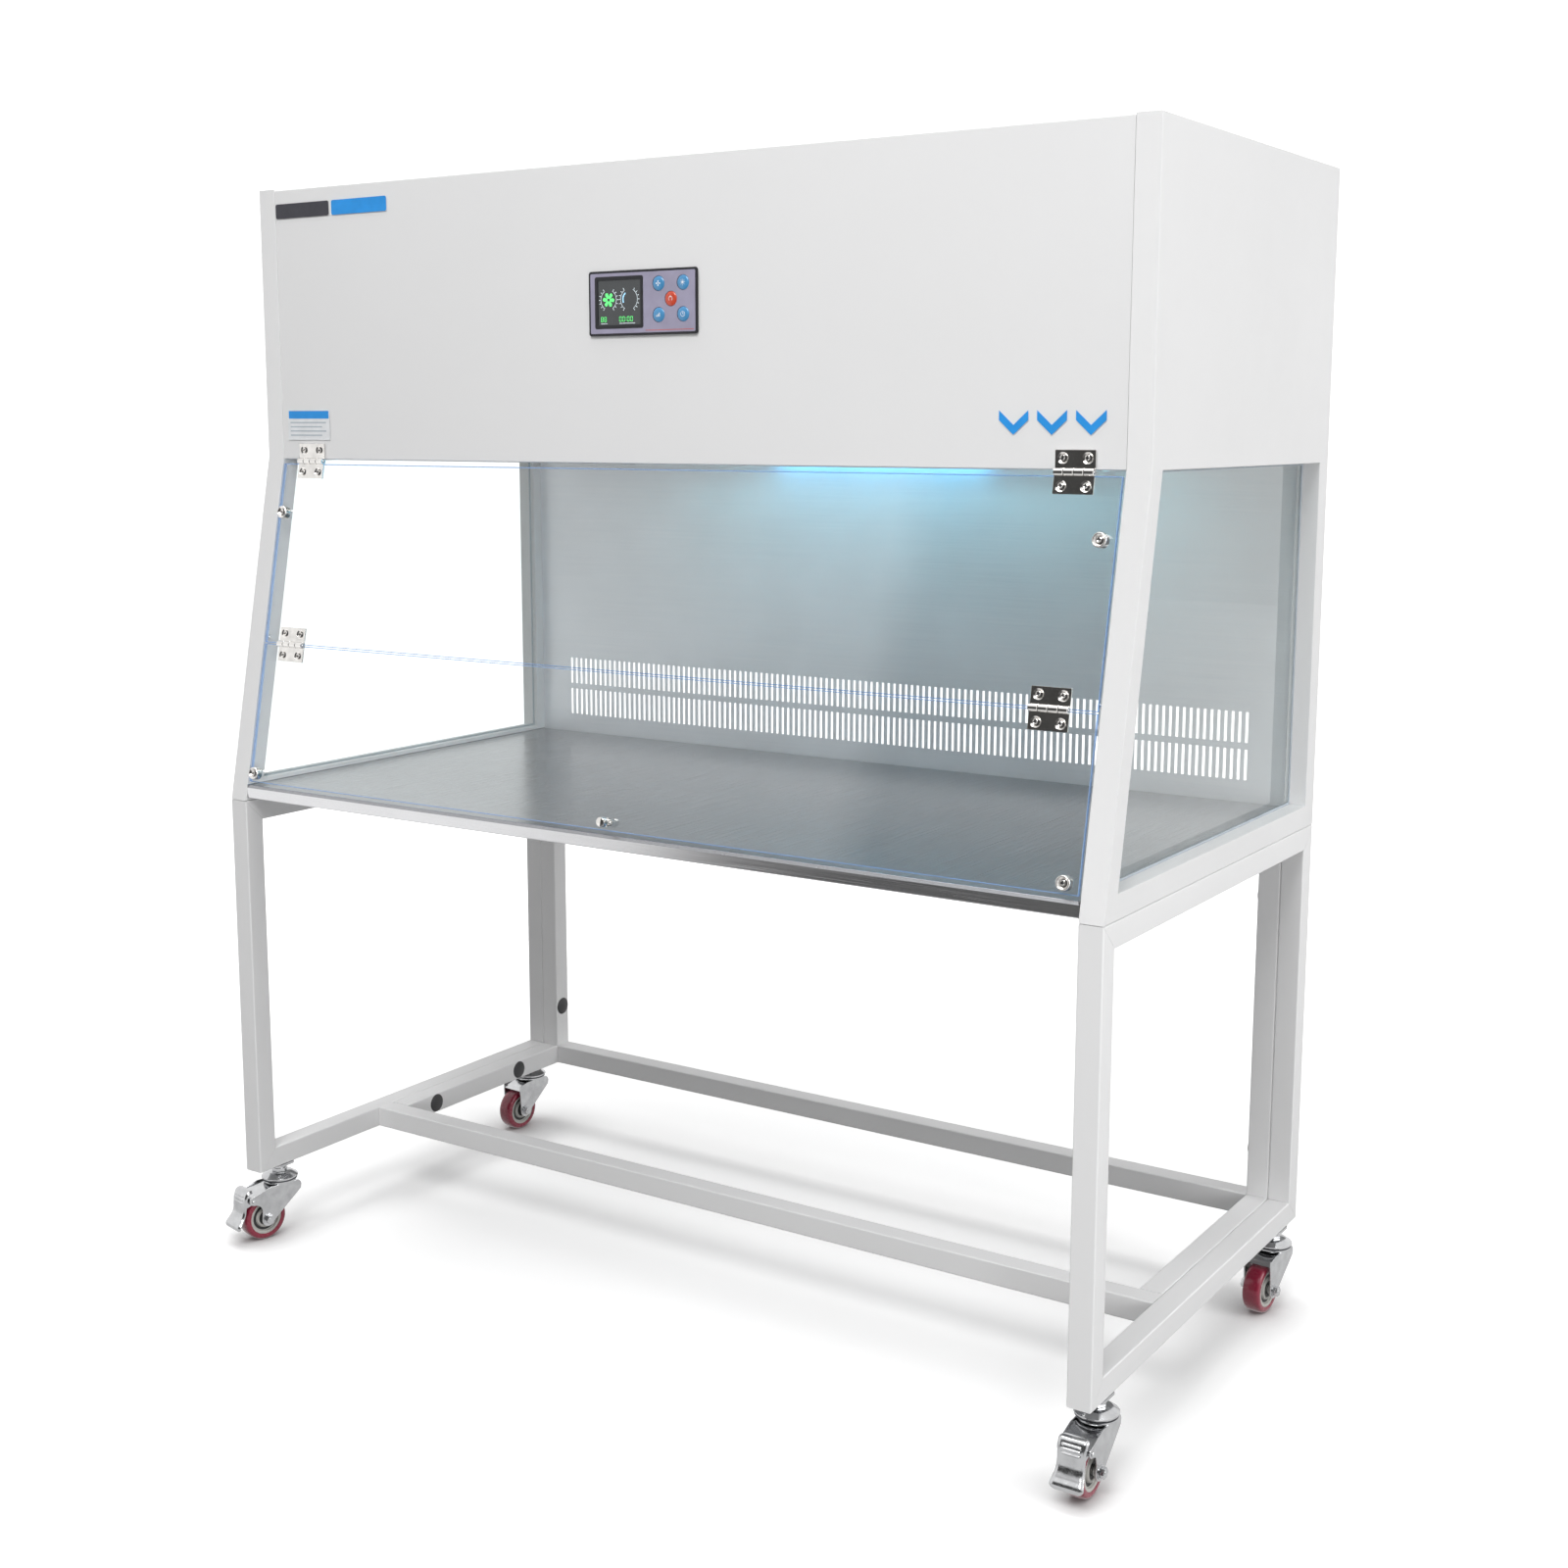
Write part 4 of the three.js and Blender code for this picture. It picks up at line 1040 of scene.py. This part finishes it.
# ---- Plain marks in place of lettering --------------------------------------------------
def add_marks():
    """Two plain bars at the top and three chevrons over the right hinge."""
    piece = Piece()
    skin = front(0, 0, SETBACK - 0.02)
    low = FOOT + 1519
    for x, colour in ((-714, MARK_DARK), (-594, MARK_BLUE)):
        piece.mark(rectangle(x, low, x + 114, low + 22, 3), colour, skin, 0.25, 0.05)
    for i in range(3):
        x = 545 + 52 * i
        base = FOOT + 1192
        chevron = [(x, base + 18), (x + 20, base), (x + 40, base + 18), (x + 40, base + 30),
                   (x + 20, base + 12), (x, base + 30)]
        piece.mark(chevron, MARK_BLUE, skin, 0.25, 0.05)
    piece.finish("front_marks", "root")


def add_label():
    """A small label with a blank heading bar and blank lines."""
    piece = Piece()
    x0, z0, x1, z1 = -703, FOOT + 1180, -612, FOOT + 1227
    piece.mark(rectangle(x0, z0, x1, z1, 2), LABEL_WHITE, front(0, 0, SETBACK - 0.02), radius=0.05)
    raised = front(0, 0, SETBACK - 0.22)
    piece.mark(rectangle(x0 + 2, z1 - 14, x1 - 2, z1 - 2, 1), MARK_BLUE, raised, 0.1, 0.03)
    for i in range(4):
        z = z1 - 20 - 6.5 * i
        line = rectangle(x0 + 5, z - 1, x1 - 8 - 9 * (i % 2), z + 1)
        piece.mark(line, LABEL_GREY, raised, 0.1, 0.03)
    piece.finish("blank_label", "root")


# ---- Sash -----------------------------------------------------------------------------
def add_sash_panel(name, low, high, node, body):
    """A clear pane whose rounded rim has the look of a cut edge."""
    piece = Piece()
    corner = (PANE_HALF_WIDTH, PANE_THICKNESS, high)
    piece.block((-PANE_HALF_WIDTH, 0, low), corner, ACRYLIC, 1.0, segments=2)
    # The rim's blue is partly painted light carried inside the pane.
    piece.materials.append(ACRYLIC_EDGE)
    for face in piece.bm.faces:
        if abs(face.normal.y) < 0.95:
            face.material_index = 1
    piece.finish(name, body, [node], SASH_FRAME)


def countersunk_screw(piece, matrix, depth):
    """A conical dish with a cross-recess screw head in it; z = 0 is the dish's rim."""
    piece.turned([(7.1, -0.02), (7.1, -depth), (4.4, -depth), (4.4, 0.55 - depth)], NICKEL, matrix, 40)
    # The dark ring round the head is painted shade in the gap between head and dish.
    piece.turned([(4.5, -depth), (4.5, 0.5 - depth), (0, 0.5 - depth), (0, -depth)], RECESS_SHADE, matrix, 32)
    screw(piece, matrix @ at((0, 0, 0.1 - depth)), 4.0, depth + 0.5)


def hinge_leaf(direction, face, matrix, name, body, node):
    """One leaf of a butt hinge: plate, knuckles and screws; the upper leaf also holds the pin."""
    piece = Piece()
    width, reach, thickness, barrel, knuckle = 54, 27, 2.4, 5.0, 13.5
    has_pin = direction > 0
    low, high = sorted((direction * 1.5, direction * reach))
    slab = rectangle(-width / 2, low, width / 2, high, 1.2)
    plane = oriented((1, 0, 0), (0, 0, 1), (0, -1, 0), (0, face - GAP, 0))
    screws = [(sx, direction * 17) for sx in (-16.5, 16.5)]
    dishes = [circle(7.0, x, z, 40) for x, z in screws]
    piece.plate(slab, dishes, thickness, NICKEL, 0.35, plane)
    for i in range(4):
        if (i % 2 == 0) != has_pin:
            continue
        a, b = i * knuckle - width / 2 + 0.3, (i + 1) * knuckle - width / 2 - 0.3
        shell = [(1.95, a), (barrel - 0.5, a), (barrel, a + 0.5),
                 (barrel, b - 0.5), (barrel - 0.5, b), (1.95, b)]
        piece.turned(shell, NICKEL, YZ_TO_X, 40)
        base, tip = sorted((0, direction * 3.2))
        piece.block((a, face - GAP - thickness, base), (b, face - GAP, tip), NICKEL, 0.25)
        piece.block((a, -1, base), (b, face - GAP - 0.2, tip * 0.9 + base * 0.1), NICKEL, 0.25)
    if has_pin:
        end = width / 2
        head = [(0, -end - 0.8), (1.8, -end - 0.8), (2.6, -end - 0.2), (2.6, 0.2 - end), (1.8, 0.4 - end)]
        piece.turned(mirrored(head), ZINC, YZ_TO_X, 28)
    for i, (x, z) in enumerate(screws):
        turn = Matrix.Rotation(0.5 + i, 4, "Z")
        countersunk_screw(piece, plane @ at((x, z, thickness)) @ turn, thickness - 0.3)
    piece.finish(name, body, [node], matrix)


def add_sash():
    add_sash_panel("lower_pane", SASH_LOW, SASH_FOLD - 1, "sash_lower_panel", "sash_lower")
    add_sash_panel("upper_pane", SASH_FOLD + 1, SASH_HIGH, "sash_upper_panel", "sash_upper")
    standoff = HINGE_STANDOFF
    pin_y, pin_z = SETBACK - standoff, COVER_BOTTOM - 1.5
    local_y = pin_y * math.cos(TILT) - (pin_z - SEAM) * math.sin(TILT)
    for name, side in SIDES.items():
        x = side * HINGE_X
        pin = at((x, pin_y, pin_z))
        top = f"top_hinge_{name}"
        hinge_leaf(1, standoff, pin, f"top_leaf_{name}_fixed", "root", f"{top}_cover_leaf")
        swung = pin @ Matrix.Rotation(-TILT, 4, "X")
        hinge_leaf(-1, -local_y, swung, f"top_leaf_{name}_moving", "sash_upper", f"{top}_sash_leaf")
        fold = SASH_FRAME @ at((x, -standoff, SASH_FOLD))
        for level, direction in (("upper", 1), ("lower", -1)):
            node = f"fold_hinge_{name}_{level}_leaf"
            hinge_leaf(direction, standoff, fold, f"fold_leaf_{name}_{level}", f"sash_{level}", node)
            add_magnet(level, name)
    add_knob()


def add_magnet(level, name):
    """A pot magnet: plated cup, painted shade on the floor of its recess and a recessed socket screw."""
    piece = Piece()
    place = at((SIDES[name] * MAGNET_X, -GAP, MAGNET_HEIGHTS[level]))
    out = SASH_FRAME @ place @ XZ_TO_FRONT
    cup = [(0, 0), (9.2, 0), (9.7, 0.5), (9.8, 9.2), (9.5, 10.5), (8.8, 11.3), (8.0, 11.5), (7.3, 11.2),
           (4.6, 8.6), (4.6, 7.4), (0, 7.4)]
    piece.turned(cup, NICKEL, out, 56)
    # The dark floor round the screw is painted shade in the recess.
    piece.turned(band(0, 4.55, 7.4, 7.9), RECESS_SHADE, out, 40)
    screw(piece, out @ at((0, 0, 7.6)), 4.1, 2.9)
    piece.finish(f"pot_{level}_{name}", f"sash_{level}", [f"magnet_{level}_{name}"])


def add_knob():
    """A turned handle, with the nut that holds it behind the pane."""
    piece = Piece()
    out = SASH_FRAME @ at((0, -GAP, KNOB_HEIGHT)) @ XZ_TO_FRONT
    profile = [(0, 0), (6.2, 0), (6.2, 0.8), (4, 1.4), (3.7, 5.6), (6.2, 7.2), (7, 8.4), (7, 15.6),
               (6.6, 16.9), (5.2, 17.7), (0, 18)]
    piece.turned(profile, NICKEL, out, 56)
    piece.turned(band(0, 5.0, -6.6, -5.6), NICKEL, out @ at((0, 0, 0.9)), 40)
    piece.finish("handle_knob", "sash_lower", ["sash_knob"])


def add_stop_pins():
    """A small pin on each post, which the closed sash rests on."""
    piece = Piece()
    for side in SIDES.values():
        post = at((side * (INNER_X + 0.5), 7.6, STOP_PIN_HEIGHT))
        place = SASH_FRAME @ post @ facing_in(side)
        piece.turned([(0, 6.5), (1.8, 6.5), (2.2, 6), (2.2, 0), (0, 0)], NICKEL, place, 24)
    piece.finish("sash_stop_pins", "root")


# ---- Casters --------------------------------------------------------------------------
# The wheel's radius, the axle's distance behind the swivel, and the fork's side plates.
WHEEL = 37.2
TRAIL = 35.1
ARM_X = 20.0
ARM = 2.5


def add_stem(name, centre):
    """The fixed part under the stand: raceway cup, nut and mounting plate."""
    piece = Piece()
    place = at((centre.x, centre.y, 0))
    cup = [(0, 96.2), (26, 96.2), (28.6, 96.4), (29.5, 97.6), (29.3, 99.2), (27, 100.6), (21.5, 104.2),
           (19, 105.6), (9, 106), (8.5, 107), (8.5, 116.6), (0, 116.6)]
    piece.turned(cup, ZINC, place, 72)
    piece.plate(rectangle(-17, -18, 17, 18, 3), [], 3.9, ZINC, 0.5, place @ at((0, 0, FOOT - 4.2)))
    piece.plate(circle(12.2, sides=6), [], 5.4, ZINC, 0.6, place @ at((0, 0, 106.2)))
    piece.finish(f"{name}_raceway", "root", [f"{name}_stem"])


def fork_outline(braked):
    """The side plate: broad below the raceway, round at the axle, with an ear in front."""
    ear = [(-49, 78), (-49, 86)]
    if braked:
        ear = [*arc(14, -60, 52, 0, 90, 8), (-66, 68), (-68.5, 72), (-68.5, 77), (-66.5, 79.5)]
    shoulder = arc(9, 18, 81.5, 90, 0, 8)
    eye = arc(12, -TRAIL, WHEEL, -17, -180, 18)
    return [*shoulder, (26, 75), *eye, *ear, (-30, 90.5)]


def add_fork(name, local, braked):
    """The swivelling yoke: side plates, crown, ball race and the axle with its nuts."""
    piece = Piece()
    outline = fork_outline(braked)
    for x in (-ARM_X - ARM, ARM_X):
        piece.plate(outline, [], ARM, ZINC, 0.7, local @ side_plane(x))
    lip = [(-67, 78.5), (-30, 90)] if braked else [(-47.8, 76.4), (-47.8, 84.8), (-30, 90)]
    piece.sheet([*lip, (17, 90)], -ARM_X - 1, ARM_X + 1, ZINC, 2.2, 5, local)
    race = [(0, 89), (23, 89), (26.4, 90.4), (27, 92.2), (26.6, 94.6), (24, 95.6), (0, 95.6)]
    piece.turned(race, ZINC, local, 64)
    # The dark band between the two races is painted shade in the gap.
    groove = [(24.6, 93.6), (28.2, 94.0), (28.2, 95.4), (24.6, 95.6)]
    piece.turned(groove, RECESS_SHADE, local, 64)
    end = ARM_X + ARM
    axle = local @ at((0, -TRAIL, WHEEL)) @ YZ_TO_X
    piece.turned(mirrored([(0, -end - 7.6), (3.6, -end - 7.6), (4, -end - 7)]), ZINC, axle, 32)
    for side in (-1, 1):
        piece.turned(band(4.2, 9.4, side * end, side * (end + 1.3)), ZINC, axle, 40)
        base = end + 1.4 if side > 0 else -end - 7.2
        piece.plate(circle(7.6, sides=6), [], 5.8, ZINC, 0.7, axle @ at((0, 0, base)))
        piece.turned(band(4.2, 7.5, side * 13.4, side * (ARM_X - 0.1)), ZINC, axle, 32)
    if braked:
        pin = local @ at((0, -61, 72)) @ YZ_TO_X
        head = [(0, -end - 1.6), (2.6, -end - 1.6), (3.4, -end - 0.8), (3.4, -end), (2.2, -end)]
        piece.turned(mirrored(head), ZINC, pin, 28)
    piece.finish(f"{name}_yoke", f"{name}_swivel", [f"{name}_fork"])


def add_wheel(name, local):
    """A moulded tread on a grey hub, with bearing seals and a groove on each face."""
    body = f"{name}_wheel"
    axle = local @ at((0, -TRAIL, WHEEL)) @ YZ_TO_X
    tread = Piece()
    half = [(27.6, 13.2), (30.5, 13.6), (33.4, 13.4), (35.4, 12.2), (36.6, 9.6), (37.1, 5.5), (37.2, 2)]
    tread.turned(mirrored(half), TREAD, axle, 96)
    tread.finish(f"{name}_tyre", body, [f"{name}_tread"])
    hub = Piece()
    side = [(4.4, 12.4), (6.2, 12.4), (6.2, 11.2), (12.6, 11.2), (12.6, 13), (15.6, 13), (16.4, 12),
            (16.8, 9.4), (21.6, 9.0), (22.6, 9.6), (23.2, 12.4), (25.6, 13), (27.4, 12.6)]
    hub.turned(mirrored(side), HUB, axle, 72)
    for face in (-1, 1):
        hub.turned(band(6.4, 12.4, face * 10.8, face * 11.9), SEAL, axle, 48)
        hub.turned(band(17.0, 21.4, face * 9.0, face * 9.5), SEAL, axle, 48)
    hub.finish(f"{name}_core", body, [f"{name}_hub"])


def smoothed(points, steps):
    """A Catmull-Rom curve through points of any number of coordinates."""
    points = [Vector(p) for p in points]
    ends = [2 * points[0] - points[1], *points, 2 * points[-1] - points[-2]]
    curve = []
    for a, b, c, d in zip(ends, ends[1:], ends[2:], ends[3:]):
        for i in range(steps):
            t = i / steps
            curve.append(0.5 * (2 * b + (c - a) * t + (2 * a - 5 * b + 4 * c - d) * t**2
                                + (3 * b - a - 3 * c + d) * t**3))
    return [*curve, points[-1]]


def pedal_lift(across, x, z):
    """How far the foot plate stands out: three pressed ribs, less the turned-back side edges."""
    lift = -2.4 * max(0, (abs(across) - 0.78) / 0.22) ** 2
    for rib in (82.5, 77.2, 71.9):
        rise = max(0, 1 - ((z - rib) / 1.5) ** 2) * max(0, min(1, (13 - abs(x)) / 1.5))
        lift += 1.2 * rise
    return lift


def pedal_plate(spine, thickness, columns=36):
    """A stamped plate along a spine of (y, z, half width) points."""
    bm = bmesh.new()
    front_rows, back_rows = [], []
    for i, (y, z, half) in enumerate(spine):
        before, after = spine[max(i - 1, 0)], spine[min(i + 1, len(spine) - 1)]
        along = Vector((after[0] - before[0], after[1] - before[1])).normalized()
        outward = Vector((0, along.y, -along.x))
        front_row, back_row = [], []
        for j in range(columns + 1):
            across = 2 * j / columns - 1
            x = half * across
            skin = Vector((x, y, z)) + outward * pedal_lift(across, x, z)
            front_row.append(bm.verts.new(skin))
            back_row.append(bm.verts.new(skin - outward * thickness))
        front_rows.append(front_row)
        back_rows.append(back_row)
    for rows in (front_rows, back_rows):
        for upper, lower in zip(rows, rows[1:]):
            for j in range(columns):
                bm.faces.new([upper[j], upper[j + 1], lower[j + 1], lower[j]])
    for j in (0, columns):
        for i in range(len(spine) - 1):
            bm.faces.new([front_rows[i][j], front_rows[i + 1][j], back_rows[i + 1][j], back_rows[i][j]])
    for i in (0, -1):
        for j in range(columns):
            bm.faces.new([front_rows[i][j], front_rows[i][j + 1], back_rows[i][j + 1], back_rows[i][j]])
    bmesh.ops.recalc_face_normals(bm, faces=bm.faces)
    return bm


def add_pedal(name, local):
    """The brake's stamped foot plate with pressed ribs, and its cheeks on the pin."""
    piece = Piece()
    spine = [(-61, 90.8, 18), (-66, 91, 20), (-71.5, 88.4, 20), (-75, 81, 19.5), (-76.8, 72, 19),
             (-77.6, 62, 18.8), (-80, 52, 19.3), (-85.3, 43.5, 21.3), (-90, 37, 22.6), (-91, 31.5, 22.2),
             (-88.2, 27.8, 20)]
    piece.absorb(pedal_plate(smoothed(spine, 12), 2.0), ZINC, local)
    eye = arc(6, -61, 72, 80, -100, 10)
    cheek = [(-73, 63), (-77, 64), (-76, 78), (-72, 86), (-60, 78), *eye, (-68, 64)]
    for x in (-17, 15):
        piece.plate(cheek, [circle(2.6, -61, 72, 20)], 2, ZINC, 0.4, local @ side_plane(x))
    piece.finish(f"{name}_foot_plate", f"{name}_brake", [f"{name}_brake_pedal"])


def add_casters():
    joints = {joint["name"]: joint for joint in frame["joints"]}
    for corner in ("front_left", "front_right", "rear_left", "rear_right"):
        name = f"caster_{corner}"
        x, y, _ = joints[f"{corner}_swivel"]["pos_m"]
        centre = Vector((x / MM, y / MM - FRONT_Y))
        along = joints[f"{corner}_roll"]["axis"]
        heading = Matrix.Rotation(math.atan2(along[1], along[0]), 4, "Z")
        local = at((centre.x, centre.y, 0)) @ heading
        braked = corner.startswith("front")
        add_stem(name, centre)
        add_fork(name, local, braked)
        add_wheel(name, local)
        if braked:
            add_pedal(name, local)


# ---- Studio ---------------------------------------------------------------------------
def area_light(name, location, target, size, power, colour=(1, 1, 1)):
    data = bpy.data.lights.new(name, "AREA")
    data.shape = "RECTANGLE"
    data.size, data.size_y = size
    data.energy = power
    data.color = colour
    light = placed(name, data)
    light.location = location
    direction = Vector(target) - Vector(location)
    light.rotation_euler = direction.to_track_quat("-Z", "Y").to_euler()
    return light


def add_studio():
    half = FLOOR_SIZE / 2
    bm = raw_block((-half, -half, -20), (half, half, 0))
    mesh = bpy.data.meshes.new("floor")
    bm.transform(Matrix.Scale(MM, 4))
    bm.to_mesh(mesh)
    bm.free()
    mesh.materials.append(floor_paper("floor_paper"))
    placed("floor", mesh)
    add_world()
    bpy.context.scene.view_settings.view_transform = "Standard"
    area_light("key", (0.9, -3.4, 4.3), (0, 0, 1.0), (2.4, 1.8), 132)
    area_light("right", (4.2, 0.4, 2.2), (0.4, 0, 1.1), (2.6, 2.6), 91)
    low = area_light("low", (2.6, -3.0, 0.7), (0, 0, 0.4), (1.2, 0.8), 28)
    low.visible_glossy = False
    lamp_z = COVER_BOTTOM * MM
    glow = area_light("glow", (0.08, 0.2, lamp_z + 0.012), (0.08, 0.42, lamp_z - 0.12), (0.85, 0.05),
                      0.85, (0.36, 0.87, 1.0))
    glow.visible_camera = False
    glow.visible_glossy = False
    area_light("top", (-0.6, 0.2, 5.2), (-0.2, 0, 0), (3.4, 3.4), 160)


def add_world():
    """A white surround with a dark card in front, which only mirrors see, and a dimmer light."""
    world = bpy.data.worlds.new("studio")
    world.use_nodes = True
    tree = world.node_tree
    background = tree.nodes["Background"]
    background.inputs["Color"].default_value = (1, 1, 1, 1)
    path = tree.nodes.new("ShaderNodeLightPath")
    card = card_mask(tree, tree.nodes.new("ShaderNodeTexCoord").outputs["Generated"])
    mirrored = ranged(tree, card, 0, 1, WORLD_MIRRORED, CARD_TONE)
    thrown = ranged(tree, path.outputs["Is Camera Ray"], 0, 1, WORLD_LIGHT, WORLD_SEEN)
    choice = tree.nodes.new("ShaderNodeMix")
    tree.links.new(path.outputs["Is Glossy Ray"], choice.inputs[0])
    tree.links.new(thrown, choice.inputs[2])
    tree.links.new(mirrored, choice.inputs[3])
    tree.links.new(choice.outputs[0], background.inputs["Strength"])
    bpy.context.scene.world = world


add_camera()
add_studio()
add_stand()
add_plug_caps()
add_cabinet_sides()
add_front_cover()
add_roof()
add_rear_cover()
add_power_inlet()
add_roof_intake()
add_diffuser()
add_hepa_filter()
add_lamp("uv", UV_GLOW, 220, 700, ["uv_lamp"])
add_lamp("led", LAMP_WHITE, 450, 650)
coat("blower_housing", GALVANISED)
coat("blower_impeller", BLACK)
coat("rear_wall", WALL)
add_worktop()
add_panel()
add_marks()
add_label()
add_sash()
add_stop_pins()
add_casters()
